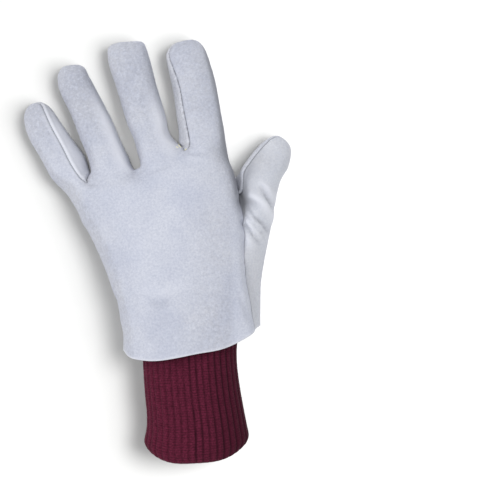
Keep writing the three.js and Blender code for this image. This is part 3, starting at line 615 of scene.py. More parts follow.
up, right, up_way, right_way = from_gap((-15.0, 60.2), 17)
apart = (np.sign(right) * GAP_HALF * hill(up - 2.5, 5.6) * hill(right, 3.6)
         * ramp(np.abs(right), 0, 0.4))
apart += (right > 0) * GAP_OPEN * hill(up - 15, 13) * hill(right - 2, 5)
deeper = GAP_DEEPER * hill(up, 2.4) * hill(right, 3.0)
widened = np.zeros_like(place)
widened[:, :2] = apart[:, None] * right_way - deeper[:, None] * up_way
up, right, _, right_way = from_gap((18.6, 73.7), 14)
drawn_back = INDEX_GAP_OPEN * hill(up - 13, 9) * hill(right + 6, 5) * ramp(right, 0, -4)
widened[:, :2] -= drawn_back[:, None] * right_way
print("moved by up to", round(float(np.abs(widened).max()), 2), "mm")

# %% [markdown]
# Where the glove rests, the table presses the leather flat. The palm is held up by the
# thickness of the patch sewn over it and by the patch's raised stitches, and comes down to the
# table over a few millimetres beyond the patch's edge.

# %% Press the underside flat
PATCH_GAP, STITCH_ROOM, LOW, CLEARANCE = 0.3, 0.4, 8, 0.03
PATCH_LIFT = LEATHER + PATCH_GAP + STITCH_ROOM
low = place[:, 2] < LOW
skin = place + facing * (relief + folded)[:, None] + widened
lift = np.zeros(len(skin))
under_points = place[np.unique(quads[panel_of == UNDER_PATCH])]
slope = ramp(nearest(place[low], under_points)[1], 0, 5)
lift[low] = PATCH_LIFT * (1 - slope * slope * (3 - 2 * slope))
skin[:, 2] = np.maximum(skin[:, 2], np.maximum(lift, CLEARANCE))
print("lowest point of the shell:", round(skin[:, 2].min(), 3), "mm")

# %% [markdown]
# ## Suede
#
# Split leather is the fibrous inner layer of a hide, so both of its faces are suede. Its colour
# is broken up three times: by broad, very faint clouds where the nap lies another way, by a fine
# mottle of fibres, and by painted shade laid on in blotches. It has no gloss, only a slight
# sheen at grazing angles. The nodes work in object coordinates, which are metres here, so
# every panel gets grain of the same size.

# %% A small kit for node materials
def new_material(name):
    made = bpy.data.materials.new(name)
    made.use_nodes = True
    return made, made.node_tree.nodes["Principled BSDF"], made.node_tree.links


def add_node(made, kind, **settings):
    node = made.node_tree.nodes.new(kind)
    for key, value in settings.items():
        if key in node.inputs:
            node.inputs[key].default_value = value
        else:
            setattr(node, key, value)
    return node


def noise_of(made, size, detail=3, roughness=0.6):
    """Noise with lumps of the given size in metres, as a factor from 0 to 1."""
    node = add_node(made, "ShaderNodeTexNoise", Scale=1 / size, Detail=detail,
                    Roughness=roughness)
    where = made.node_tree.nodes.get("where") or add_node(made, "ShaderNodeTexCoord",
                                                          name="where")
    made.node_tree.links.new(where.outputs["Object"], node.inputs["Vector"])
    return node.outputs["Fac"]


def spread(made, factor, low, high):
    """Stretches the part of a noise between low and high over the whole of 0 to 1."""
    node = add_node(made, "ShaderNodeMapRange")
    set_inputs(node, {"From Min": low, "From Max": high})
    made.node_tree.links.new(factor, node.inputs["Value"])
    return node.outputs["Result"]


def feed(made, sockets, values):
    """Gives each socket its value, which may be another node's output."""
    for socket, value in zip(sockets, values):
        if isinstance(value, bpy.types.NodeSocket):
            made.node_tree.links.new(value, socket)
        else:
            socket.default_value = value


def mixed(made, factor, first, second, blend="MIX"):
    """A Mix node for colours. Its sockets 0, 6 and 7 are the factor and the two colours."""
    node = add_node(made, "ShaderNodeMix", data_type="RGBA", blend_type=blend)
    feed(made, [node.inputs[i] for i in (0, 6, 7)], (factor, first, second))
    return node.outputs[2]


def calculated(made, operation, *values):
    node = add_node(made, "ShaderNodeMath", operation=operation)
    feed(made, node.inputs, values)
    return node.outputs[0]


def bumpy(made, height, strength, distance, over=None):
    """The normals of a relief, as high as `distance` in metres, laid over coarser ones."""
    node = add_node(made, "ShaderNodeBump", Strength=strength, Distance=distance)
    made.node_tree.links.new(height, node.inputs["Height"])
    if over:
        made.node_tree.links.new(over, node.inputs["Normal"])
    return node.outputs["Normal"]


def attribute(made, name):
    return add_node(made, "ShaderNodeAttribute", attribute_name=name).outputs["Fac"]


def srgb(red, green, blue):
    """A colour picked on a screen, 0 to 255, as the linear light that Blender works with."""
    return tuple(((c / 255 + 0.055) / 1.055) ** 2.4 if c > 10 else c / 3294.6
                 for c in (red, green, blue)) + (1,)


print("paper white is", srgb(255, 255, 255))

# %% [markdown]
# The suede mixes its two colours by large soft clouds, then lays painted shade on in blotches,
# darkens points by seam dirt and painted shade, and pales them by cut fibres and painted light,
# whose values the panels will bring along. Two bumps lie over each other: the short nap, and
# wider scuffs.

# %% Suede
def suede(name, plain, cloud, seed_size, mottle):
    """Suede in two close colours. `mottle` is how dark its darkest fibres are, 1 for none."""
    made, shader, links = new_material(name)
    clouds = spread(made, noise_of(made, seed_size, 2), 0.35, 0.65)
    colour = mixed(made, clouds, plain, cloud)
    fibre = spread(made, noise_of(made, 0.0014, 3, 0.7), 0.36, 0.64)
    dark = (mottle, mottle + 0.01, mottle + 0.04, 1)
    colour = mixed(made, fibre, colour, mixed(made, 1.0, colour, dark, "MULTIPLY"))
    blotches = spread(made, noise_of(made, 0.0024, 3, 0.65), 0.24, 0.72)
    # painted shade, in blotches, where a point carries the shade mask
    shade_in_blotches = calculated(made, "MULTIPLY", attribute(made, "blotchy_shade"), blotches)
    colour = mixed(made, shade_in_blotches, colour,
                   mixed(made, 1.0, colour, (0.82, 0.81, 0.80, 1), "MULTIPLY"))
    # dirt in the seams, and painted shade in creases, the thumb's crotch and right-facing edges
    colour = mixed(made, attribute(made, "seam_dirt_and_shade"), colour, srgb(120, 122, 130))
    # pale cut fibres, a painted highlight on fold ridges and painted light in the finger gaps
    colour = mixed(made, attribute(made, "cut_edge_and_light"), colour, srgb(226, 228, 236))
    links.new(colour, shader.inputs["Base Color"])
    roughness = add_node(made, "ShaderNodeMapRange")
    set_inputs(roughness, {"To Min": 0.86, "To Max": 0.98})
    links.new(fibre, roughness.inputs["Value"])
    links.new(roughness.outputs["Result"], shader.inputs["Roughness"])
    set_inputs(shader, {"Specular IOR Level": 0.22, "Sheen Weight": 0.12, "Sheen Roughness": 0.6})
    nap = bumpy(made, noise_of(made, 0.0009, 5, 0.7), 0.55, 0.00022)
    links.new(bumpy(made, noise_of(made, 0.006, 3), 0.5, 0.0006, nap), shader.inputs["Normal"])
    return made


back_suede = suede("back_suede", srgb(205, 208, 218), srgb(195, 199, 212), 0.030, 0.83)
palm_suede = suede("palm_suede", srgb(215, 217, 224), srgb(205, 208, 217), 0.024, 0.78)
wing_suede = suede("wing_suede", srgb(213, 215, 221), srgb(207, 210, 218), 0.026, 0.88)
print([m.name for m in (back_suede, palm_suede, wing_suede)])

# %% [markdown]
# ## The sewn panels
#
# Three values are worked out for each point of the skin, for the suede material. The first
# darkens it: dirt in the seams, and painted shade in the creases of folds, in the crotch of the
# thumb and on edges that turn to the right. The second pales it: the cut fibres at the raw hem,
# a painted highlight on the ridges of folds, and painted light on the sides of fingers in the
# gaps. The third is painted shade laid on in blotches: on the fingers, on the sides and the
# underside of the hand and on the right and lower back; it also darkens the thumb towards its
# end and the wing towards the hem. They could be painted by hand, but as formulas of the place
# they stay right when the shape changes.

# %% Dirt, painted shade and painted light on the leather
SHADE_BELOW = 0.8  # all over the underside
CROTCH_LINE = [(59.0, 34.6), (59.8, 42.0), (62.0, 51.1), (67.0, 61.9), (74.9, 71.3)]
across, along = plan.T
# painted shade, as a mask: on the underside, on the fingers, which lie lower than the back, on
# sides of the hand that turn away from the lamp above, and on the right and lower back
underneath = ramp(facing[:, 2], 0, -0.25)
turned_right = ramp(facing[:, 0], 0, 0.5) * ramp(across, 20, 10)
# darker towards the thumb's end
on_thumb = 0.7 * ramp(along, 46, 62)
on_finger = ramp(along, 50, 100) * np.clip(1 - across / 90, 1, 1.6)
on_side = 1.2 * ramp(facing[:, 2], 0.985, 0.685) * ramp(across, 58, 52) * (1 - turned_right)
on_back = 0.8 * ramp(np.abs(across + 5), 20, 45) + 0.4 * ramp(along, -25, -50)
on_back *= ramp(along, 50, 20) * ramp(across, 57, 52)
blotchy_shade = np.where((across > 57) & (along > 44), on_thumb,
                   np.maximum(np.maximum(on_finger, on_side), on_back))
blotchy_shade += (SHADE_BELOW - blotchy_shade) * underneath
# on the wing it darkens towards the thumb's end and towards the hem
blotchy_shade_wing = np.maximum(on_thumb, 0.7 * ramp(along, 10, -20))

thread_holes = 0.45 + 0.55 * np.clip(field(seam_spot, 1.3, 6) * 4, -1, 1)
thumb_seam = ramp(across, 57, 60) * ramp(along, 42, 48)
seam_shade = np.maximum(0.70 * thread_holes * tight, 0.95 * thumb_seam) * hill(seam_far, 0.50)
# painted shade in the creases of the folds, and in the crotch where the wing tucks under
fold_shade = 0.36 * ramp(folded, 0, -2) + 0.54 * (tucked / TUCK_DEPTH) ** 1.5
# painted shade along the edges of the index finger that turn to the right
right_edge_shade = 0.7 * ramp(facing[:, 0], 0.72, 0.92) * ramp(along, 28, 40)
right_edge_shade *= ramp(across, 8, 16) * ramp(across, 60, 57) * (1 - underneath)
dirt_and_shade = np.maximum(np.maximum(seam_shade, fold_shade), right_edge_shade)
# painted shade on the wing beside the crotch, reaching up the thumb's seam
far = beside(plan, np.array(CROTCH_LINE) + GLOVE_SHIFT)[0]
crotch_shade = (0.62 * np.exp(-far / (6.5 + 2.5 * ramp(along, 50, 40)))
                * ramp(along, 76, 56) * ramp(along, 20, 32))

# painted light on the right-facing sides of fingers in the gaps, against the shade there
gap_side_light = 0.8 * turned_right * ramp(along, 45, 55) * ramp(along, 120, 90) * (1 - underneath)
# pale cut fibres at the hem, a painted highlight on the ridges of folds, and the painted light
pale = np.maximum(0.9 * hill(hem_far, 0.9), np.maximum(0.70 * ramp(folded, 0, 2), gap_side_light))
print("handled on average:", round(float(blotchy_shade.mean()), 2))

# %% [markdown]
# A piece is a smooth mesh with one material. A Solidify modifier gives a sheet the thickness of
# its leather and grows it inward, so that the outside stays true.

# %% Make a piece
def as_piece(name, points, faces, material, slot, *nodes):
    """A mesh object from millimetres, smooth, on the body, and standing for CAD nodes."""
    mesh = bpy.data.meshes.new(name)
    faces = faces if isinstance(faces, list) else faces.tolist()
    mesh.from_pydata((np.asarray(points) * MM).tolist(), [], faces)
    mesh.shade_smooth()
    mesh.materials.append(material)
    piece = bpy.data.objects.new(name, mesh)
    scene.collection.objects.link(piece)
    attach(piece, "root")
    if nodes:
        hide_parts(*nodes)
    return piece


def store(piece, name, values):
    layer = piece.data.attributes.new(name, "FLOAT", "POINT")
    layer.data.foreach_set("value", np.asarray(values, np.float32))


def thicken(piece, thickness):
    leather = piece.modifiers.new("leather", "SOLIDIFY")
    leather.thickness, leather.offset = thickness * MM, -1


print("leather is", LEATHER, "mm thick")

# %% [markdown]
# Each panel is cut out of the skin along its seams. Its seam edges are drawn back a hair,
# because two real sheets never share one line.

# %% Cut the panels
SEAM_GAP, TUCK_UNDER, PANEL_LEATHER = 0.11, 2.0, LEATHER - 0.05


def cut_out(chosen):
    """The points and faces of the chosen skin faces, and each seam point's way inward."""
    used, local = np.unique(chosen, return_inverse=True)
    local = local.reshape(-1, 4)
    points = skin[used]
    rim, beside_rim, other = edges_of(local)
    sewn = (other < 0) & (hem_far[used][rim].min(1) > 0.01)
    rim, beside_rim = rim[sewn], beside_rim[sewn]
    rim_way = unit(points[rim[:, 1]] - points[rim[:, 0]])
    inward = points[local[beside_rim]].mean(1) - points[rim].mean(1)
    inward -= (inward * rim_way).sum(1)[:, None] * rim_way
    pull = np.zeros_like(points)
    for end in (0, 1):
        np.add.at(pull, rim[:, end], unit(inward))
    length = np.linalg.norm(pull, axis=1)
    pull[length > 0] /= length[length > 0][:, None]
    return used, points, local, pull


def sewn_panel(name, groups, material, slot, node):
    used, points, faces, pull = cut_out(quads[np.isin(panel_of, groups)])
    points += pull * SEAM_GAP
    on_wing = THUMB_WING in groups
    if on_wing:
        deep = tucked[used, None]
        points -= deep * (0, 0, 1) + deep / TUCK_DEPTH * TUCK_UNDER * pull
    piece = as_piece(name, points, faces, material, slot, node)
    # on the wing the painted shade beside the crotch joins the seam dirt and shade
    store(piece, "seam_dirt_and_shade", (np.maximum(dirt_and_shade, crotch_shade) if on_wing else dirt_and_shade)[used])
    store(piece, "cut_edge_and_light", pale[used])
    store(piece, "blotchy_shade", (blotchy_shade_wing if on_wing else blotchy_shade)[used])
    thicken(piece, PANEL_LEATHER)
    print(name, len(faces), "faces")
    return piece


back_of_hand = sewn_panel("back_of_hand", [BACK], back_suede, "back_leather", "back_panel")
sewn_panel("thumb_wing", [THUMB_WING], wing_suede, "back_leather", "thumb_back")
palm_side = sewn_panel("palm_side", [PALM, UNDER_PATCH], palm_suede, "palm_leather",
                       "palm_panel")
sewn_panel("ring_front", [RING_FRONT], palm_suede, "palm_leather", "ring_finger_front")
middle_front = sewn_panel("middle_front", [MIDDLE_FRONT], palm_suede, "palm_leather",
                          "middle_finger_front")

# %% [markdown]
# ## Ribbed knit wrist
#
# The wrist is a knitted tube, folded over at its free end and sewn inside the hem. Knitting is
# columns of little loops. Here a broad column stands out as a rib and then the fabric dips into
# a narrow groove, 38 times round. The tube is a grid of points, wound round the same sections as
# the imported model. Modelling single yarns would need millions of faces for something finer
# than a pixel, so the grid has the ribs and grooves, and the material adds the single loops.

# %% Sections of the knit
KNIT_LEAN, KNIT_SQUARENESS = math.radians(3.2), 2.25
KNIT_WALL, RIB_DEPTH, RIB_COUNT, KNIT_GAP, RIM_FULLNESS = 3.0, 1.1, 38, 0.4, 3.0
# x, y, wide, low, high, and how far the middle of the rim runs out past its sides
KNIT_ROWS = np.array([
    (22.6, -63.0, 70.2, 3.9, 43.0, 0), (22.9, -74.0, 67.8, 3.9, 43.5, 0),
    (23.5, -86.0, 67.6, 2.3, 44.0, 1), (25.0, -101.0, 68.6, 2.3, 43.0, 3),
    (27.0, -116.0, 69.9, 0.4, 42.5, 5), (27.8, -126.0, 72.2, 0.0, 42.5, 7.5),
    (27.8, -134.5, 75.3, 0.0, 42.5, 9), (28.0, -139.5, 72.0, 0.6, 41.0, 10),
])
KNIT_RIM = np.array((28.0, -141.0, 69.0, 2.0, 39.6, 10))


def knit_points(section, angles, out):
    """Points round one section, moved outward by `out`, which may differ from point to point."""
    x, y, wide, low, high, bulge = section
    cos, sin = np.cos(angles), np.sin(angles)
    across = (wide / 2 + out) * powered(cos, KNIT_SQUARENESS)
    up = ((high - low) / 2 + out) * powered(sin, KNIT_SQUARENESS)
    run_out = bulge * (1 - np.abs(cos) ** RIM_FULLNESS)
    return np.stack([x + across * math.cos(KNIT_LEAN) + GLOVE_SHIFT[0],
                     y + across * math.sin(KNIT_LEAN) - run_out + GLOVE_SHIFT[1],
                     (low + high) / 2 + up], axis=1)


def smooth_rows(table, steps):
    """Catmull-Rom curve through the rows of a table, at the given row numbers."""
    table = np.asarray(table, float)
    i = np.clip(np.floor(steps).astype(int), 0, len(table) - 2)
    t = (steps - i)[:, None]
    rows = [table[np.clip(i + k, 0, len(table) - 1)] for k in (-1, 0, 1, 2)]
    return 0.5 * (2 * rows[1] + (rows[2] - rows[0]) * t
                  + (2 * rows[0] - 5 * rows[1] + 4 * rows[2] - rows[3]) * t ** 2
                  + (3 * rows[1] - rows[0] - 3 * rows[2] + rows[3]) * t ** 3)


knit_length = KNIT_ROWS[0][1] - KNIT_RIM[1]
print("knit from inside the hem to its free end:", round(knit_length, 1), "mm")

# %% [markdown]
# The start of the knit lies against the inside of the shell, one row above the hem. Round that
# ring the points are spread evenly, so that the ribs run on into it without a twist.

# %% The ring inside the shell
AROUND = RIB_COUNT * 11
share = np.arange(AROUND) / AROUND  # of the way round


def points_at(line, shares):
    """Points at the given shares, 0 to 1, of the length of a line."""
    far = walked(line)
    return np.stack([np.interp(shares * far[-1], far, column) for column in line.T], axis=1)


def ring_inside(depth):
    """Even steps round the inside of the shell, one row above the hem."""
    wrist_row = slice(ROUND, 2 * ROUND)
    ring = place[wrist_row] - facing[wrist_row] * depth
    closed = np.concatenate([ring[-1:], ring, ring[:2]])
    return points_at(smooth_rows(closed, np.linspace(1, len(ring) + 1, len(ring) * 16 + 1)), share)


knit_top = ring_inside(LEATHER + 2 * KNIT_GAP)
knit_top_inner = ring_inside(LEATHER + 2 * KNIT_GAP + KNIT_WALL)
print("ring inside the shell:", len(knit_top), "points")

# %% [markdown]
# The knit is one grid that is folded over at its free end, as the real cuff is: down the
# outside in rows, round the rim, and back up inside. Each rib is a swell between two grooves,
# and the whole tube wanders a little, because a knit never hangs quite straight.

# %% Knit the tube
LOOP = 1.84  # height of one loop
rib_phase = share * RIB_COUNT  # whole numbers are the middles of ribs
from_groove = 0.5 - np.abs((rib_phase + 0.5) % 1 - 0.5)
dip = hill(from_groove, 0.16)


def evenly_round(section, out, wander=0):
    """Even steps round a section, from the little finger's side over the back."""
    dense = np.linspace(math.pi, -math.pi, 1441)
    far = walked(knit_points(section, dense, 0.0))
    return knit_points(section, np.interp(share * far[-1], far, dense) + wander, out)


tube, tube_dip = [], []


def knit_row(points, depth):
    tube.append(points)
    tube_dip.append(dip * depth)


for t in np.linspace(0, 1, 9)[:-1]:
    knit_row(lerp(knit_top, evenly_round(KNIT_ROWS[0], -RIB_DEPTH * dip), t), t)
even_y = np.linspace(KNIT_ROWS[0][1], KNIT_ROWS[-1][1], 170)
sections = smooth_rows(KNIT_ROWS, np.interp(-even_y, -KNIT_ROWS[:, 1], np.arange(len(KNIT_ROWS))))
for section in sections:
    wander = 0.003 * math.sin(section[1] / 23 + 1)
    knit_row(evenly_round(section, -0.75 * RIB_DEPTH * dip, wander), 1)
for out, fade in ((0.0, 0.75), (-0.5, 0.45), (-1.1, 0.15)):
    edge = lerp(sections[-1], KNIT_RIM, 1 - abs(out + 0.5) * 0.5)
    knit_row(evenly_round(edge, out - RIB_DEPTH * dip * fade), fade)
for section in sections[::-8]:
    knit_row(evenly_round(section, -KNIT_WALL + 0.25 * dip), 0.8)
knit_row(lerp(tube[-1], knit_top_inner, 0.5), 0.0)
knit_row(knit_top_inner, 0.0)
tube = np.array(tube)
under_flap = 1.9 * ramp(tube[..., 1], -119, -113)
tube[..., 2] = np.maximum(tube[..., 2], np.maximum(under_flap, 0.02))


def wound(rows, columns, closed_rows):
    """Faces of a grid whose columns run round, wound so that they face outward."""
    row, column = np.divmod(np.arange((rows if closed_rows else rows - 1) * columns), columns)
    after, below = (column + 1) % columns, (row + 1) % rows
    return np.stack([row * columns + column, row * columns + after,
                     below * columns + after, below * columns + column], axis=1)


print("knit grid:", tube.shape)

# %% [markdown]
# The yarn is dark wine red. It looks darker down in the grooves, where the light doesn't reach
# and the loops turn away, and that shade is painted: how deep a point lies was stored with it,
# and so was painted shade under the hem and on the thumb's side. The single loops are finer than
# the grid: a UV map counts them, ribs one way and loops the other, and a cosine of the loop
# number draws the dark bars between them. A little sheen stands for the fuzz of the yarn.

# %% Wine red yarn
def yarn(name):
    made, shader, links = new_material(name)
    counted = add_node(made, "ShaderNodeSeparateXYZ")
    links.new(add_node(made, "ShaderNodeUVMap", uv_map="loops").outputs["UV"],
              counted.inputs["Vector"])
    uneven_rows = calculated(made, "MULTIPLY", noise_of(made, 0.007, 2), 1.3)
    loop = calculated(made, "ADD", counted.outputs["Y"], uneven_rows)
    bar = calculated(made, "COSINE", calculated(made, "MULTIPLY", loop, math.tau))
    bar = calculated(made, "MULTIPLY", spread(made, bar, -0.7, 1.0),
                     spread(made, noise_of(made, 0.004, 2), 0.25, 0.75))
    fuzz = spread(made, noise_of(made, 0.0011, 3, 0.8), 0.34, 0.66)
    colour = mixed(made, fuzz, srgb(106, 36, 60), srgb(64, 16, 32))
    colour = mixed(made, calculated(made, "MULTIPLY", bar, 0.8), colour, srgb(54, 12, 26))
    # painted shade in the grooves
    colour = mixed(made, attribute(made, "groove"), colour, srgb(44, 9, 22))
    # painted shade under the hem and on the thumb's side
    colour = mixed(made, attribute(made, "knit_shade"), colour, srgb(54, 12, 27))
    links.new(colour, shader.inputs["Base Color"])
    set_inputs(shader, {"Roughness": 0.94, "Specular IOR Level": 0.1, "Sheen Weight": 0.04})
    twist = bumpy(made, noise_of(made, 0.0007, 4, 0.7), 0.5, 0.0003)
    links.new(bumpy(made, bar, 0.6, -0.0004, twist), shader.inputs["Normal"])
    return made


knit_yarn = yarn("wine_red_yarn")
knit_faces = wound(len(tube), AROUND, True)[:, ::-1]
rib_knit = as_piece("rib_knit", tube.reshape(-1, 3), knit_faces, knit_yarn, "knit", "knit_wrist")
knit_flat = tube.reshape(-1, 3)
# the painted shade in the grooves varies in patches and deepens towards the thumb's side
patchy = 0.42 + 0.3 * field(knit_flat, 9, 7) + 0.008 * np.clip(knit_flat[:, 0] - 10, -20, 40)
each_groove = np.random.default_rng(5).uniform(0.6, 1.4, RIB_COUNT)
each_groove = np.tile(np.repeat(each_groove, AROUND // RIB_COUNT), len(tube))
store(rib_knit, "groove", np.array(tube_dip).ravel() * each_groove * np.clip(patchy, 0.2, 0.8))
# painted shade under the overhanging hem and on the thumb's side of the knit
under_hem = hill(nearest(knit_flat, hem_points)[1], 5.5)
thumb_half = ramp(knit_flat[:, 0], 34, 62)
store(rib_knit, "knit_shade", np.maximum(0.75 * thumb_half, 0.9 * under_hem))

# %% [markdown]
# The loops are counted in a UV map, as the yarn material expects: how many ribs round and how
# many rows of loops down each corner of a face is.

# %% Count the loops
loops_down = walked(tube[:, AROUND // 4]) / LOOP
row_of, column_of = np.divmod(np.arange(len(knit_faces)), AROUND)
row_below = (row_of + 1) % len(tube)
ribs_round = np.stack([column_of, column_of + 1, column_of + 1, column_of], 1) / AROUND * RIB_COUNT
rows_counted = loops_down[np.stack([row_below, row_below, row_of, row_of], axis=1)]
counts = rib_knit.data.uv_layers.new(name="loops")
counts.uv.foreach_set("vector", np.stack([ribs_round, rows_counted], 2).astype(np.float32).ravel())
print("rib_knit", len(rib_knit.data.polygons), "faces,", round(loops_down.max()), "loops down")

# %% [markdown]
# ## The second layer on the palm
#
# Work gloves wear out in the palm first, so a second piece of suede is sewn over it. It covers
# the palm and the crotch of the thumb and runs up the thumb. It is cut along the finger welt,
# round at its ends, and with a slot at the crotch, so that the thumb can spread. Each cut is a
# line in plan. For any point the distance to the nearest cut can be worked out, with a minus
# where the leather is cut away. That one number is enough to trim the sheet.

# %% Cut lines of the overlay
PATCH_INSET, PATCH_BELOW_WELT = 1.6, 5.5
SLOT_HALF, SLOT_LINE = 4.6, [(33.6, 41.2), (40, 41.2), (46.5, 42.6), (52, 46.6), (57, 53.4),
                             (60, 60)]
THUMB_END, THUMB_END_ROUND = (80.3, 64.5), 10.15
HEEL_CORNER, HEEL_CORNER_WAY, HEEL_CORNER_ROUND = (-24.7, -28.7), (-0.507, -0.862), 3.0


def smooth_line(points, count):
    """Even steps along a smooth line through the points."""
    dense = smooth_rows(points, np.linspace(0, len(points) - 1, len(points) * 24))
    return points_at(dense, np.linspace(0, 1, count))


knuckle_line = np.array([across[2:4] for across in ACROSS]) + GLOVE_SHIFT
top_edge = smooth_line(knuckle_line - (0, PATCH_BELOW_WELT), 90)
slot_axis = smooth_line(SLOT_LINE, 40) + GLOVE_SHIFT
thumb_way = unit(np.subtract(THUMB[2][:2], THUMB[1][:2]))
# centre, way it points, radius, and the half angle that the round covers
ROUNDS = [(THUMB_END, thumb_way, THUMB_END_ROUND, 90),
          (HEEL_CORNER, HEEL_CORNER_WAY, HEEL_CORNER_ROUND, 38)]
FAR = 9.0


def leather_left(plan):
    """How far plan points are from the nearest cut, negative where the leather is cut away."""
    under_top = np.interp(plan[:, 0], top_edge[:, 0], top_edge[:, 1]) - plan[:, 1]
    off_top = np.sign(under_top) * beside(plan, top_edge)[0]
    off_top[plan[:, 0] > top_edge[-1, 0] + 6] = FAR
    left = np.minimum(off_top, beside(plan, slot_axis)[0] - SLOT_HALF)
    for centre, way, radius, half_angle in ROUNDS:
        out = plan - centre - GLOVE_SHIFT
        length = np.linalg.norm(out, axis=1)
        in_round = out @ way > length * math.cos(math.radians(half_angle))
        left = np.where(in_round, np.minimum(left, radius - length), left)
    return left


print("left beside the slot:", leather_left(slot_axis[:1] - (20, 0)).round(1), "mm")

# %% [markdown]
# The overlay starts as the same faces of the skin as the part of the palm under it, lowered by
# a small gap and its own thickness, and drawn in a little at its outer edge. Faces beyond a cut
# are left out, and the points along the cut are moved onto its line, so the edge is clean. A
# Boolean modifier could cut the sheet too, but it leaves a ragged edge where the sheet is bent
# as tightly as in the crotch of the thumb.

# %% Cut the palm overlay
used, points, faces, pull = cut_out(quads[panel_of == UNDER_PATCH])
rim = np.flatnonzero(np.linalg.norm(pull, axis=1))
rim_number, rim_far = nearest(points, points[rim])
inset = pull[rim][rim_number] * (PATCH_INSET * ramp(rim_far, 7, 0))[:, None]
outer = points + inset + facing[used] * (PATCH_GAP + LEATHER)
faces = faces[leather_left(outer[faces].mean(1)[:, :2]) > 0]
ends, _, other = edges_of(faces)
along_edge = np.concatenate([ends[other < 0], ends[other < 0][:, ::-1]])
cut_points = np.setdiff1d(along_edge, rim)
flat_there = facing[used][cut_points, 2] ** 2


def even_out(points):
    """Points of the edge drawn towards the middle between their neighbours on it."""
    middles, count = np.zeros_like(points), np.zeros(len(points))
    np.add.at(middles, along_edge[:, 0], points[along_edge[:, 1]])
    np.add.at(count, along_edge[:, 0], 1)
    return (points[cut_points] + middles[cut_points] / count[cut_points, None]) / 2


for repeat in range(4):
    at_cut = outer[cut_points, :2]
    left = leather_left(at_cut)
    slope = np.stack([leather_left(at_cut + step) - left for step in ((0.02, 0), (0, 0.02))], 1)
    slope /= np.maximum(np.linalg.norm(slope, axis=1), 1e-9)[:, None]
    outer[cut_points, :2] -= slope * (np.clip(left, -0.8, 0.8) * flat_there)[:, None]
    if repeat < 3:
        outer[cut_points] = even_out(outer)
outer[:, 2] = np.maximum(outer[:, 2], STITCH_ROOM)
diagonals = outer[faces[:, 2:]] - outer[faces[:, :2]]
face_way = np.cross(diagonals[:, 0], diagonals[:, 1])
unturned = (face_way * facing[used][faces].mean(1)).sum(1) > 0.02
print("faces turned over at the cuts and left out:", np.count_nonzero(~unturned))

# %% [markdown]
# The trimmed sheet is thickened like the panels, but the modifier is applied at once, because
# the pale fibres of the cut are stored along the sharp edges that it makes.

# %% Thicken the overlay
kept, faces = np.unique(faces[unturned], return_inverse=True)
palm_overlay = as_piece("palm_overlay", outer[kept], faces.reshape(-1, 4), palm_suede,
                        "palm_leather", "palm_patch")
thicken(palm_overlay, LEATHER)


def bake(piece):
    """Makes the modified shape the piece's own mesh."""
    bpy.context.view_layer.update()
    shown = piece.evaluated_get(bpy.context.evaluated_depsgraph_get())
    finished = bpy.data.meshes.new_from_object(shown)
    piece.modifiers.clear()
    piece.data = finished
    finished.set_sharp_from_angle(angle=math.radians(55))


bake(palm_overlay)
for point in palm_overlay.data.vertices:  # tight inner bends must not poke into the table
    point.co.z = max(point.co.z, STITCH_ROOM * MM)


def cut_edge_wear(piece):
    """Stores pale cut fibres along the sharp edges of a sheet."""
    mesh = piece.data
    points = read(mesh.vertices, "co", 3) / MM
    sharp = read(mesh.attributes["sharp_edge"].data, "value", 1, bool)
    rim = points[np.unique(read(mesh.edges, "vertices", 2, int)[sharp])]
    store(piece, "cut_edge_and_light", 0.85 * hill(nearest(points, rim)[1], 0.8))


cut_edge_wear(palm_overlay)
print("palm_overlay", len(palm_overlay.data.polygons), "faces")

# %% [markdown]
# ## The flap over the knit
#
# On the palm side a tab of suede covers the start of the knit, where the pulse is. It wraps
# round the knit, so it is laid out on the knit's own sections: for each row down the tab, how
# far it reaches round to both sides. Its free end is rounded and a little wavy.

# %% Lay out the flap
# y and reach in degrees to each side of straight down
TAB_ROWS = [(-65, 58), (-74, 64), (-84, 64), (-92, 60), (-99, 51), (-104.5, 37),
            (-107.4, 20), (-108.2, 8)]
TAB_ACROSS = 81
down_tab = smooth_rows(TAB_ROWS, np.linspace(0, len(TAB_ROWS) - 1, 64))
tab_points, tab_sides = [], np.linspace(-1, 1, TAB_ACROSS)
for y, reach in down_tab:
    at = np.interp(-y, -KNIT_ROWS[:, 1], np.arange(len(KNIT_ROWS)))
    section = smooth_rows(KNIT_ROWS, np.array([at]))[0]
    around = np.radians(-90 + reach * tab_sides)
    ripple = 0.25 * np.sin(tab_sides * 7 + y / 9) * (y < -80)
    tab_points.append(knit_points(section, around, KNIT_GAP + LEATHER + ripple))
tab_points = np.array(tab_points)
tab_points[..., 2] = np.maximum(tab_points[..., 2], STITCH_ROOM)
tab_faces = wound(len(down_tab), TAB_ACROSS, False)
tab_faces = tab_faces[(tab_faces[:, 0] + 1) % TAB_ACROSS > 0]
wrist_flap = as_piece("wrist_flap", tab_points.reshape(-1, 3), tab_faces, palm_suede,
                      "palm_leather", "pulse_tab")
thicken(wrist_flap, LEATHER - 0.25)
bake(wrist_flap)
cut_edge_wear(wrist_flap)
print("wrist_flap", len(wrist_flap.data.polygons), "faces")

# %% [markdown]
# ## The welt
#
# Where the separate fronts of the ring and middle finger meet the palm, a strip of suede is
# folded into the seam. It shows as a roll along the roots of these fingers, with both its ends
# curling away. A roll is a ring of points carried along a line.

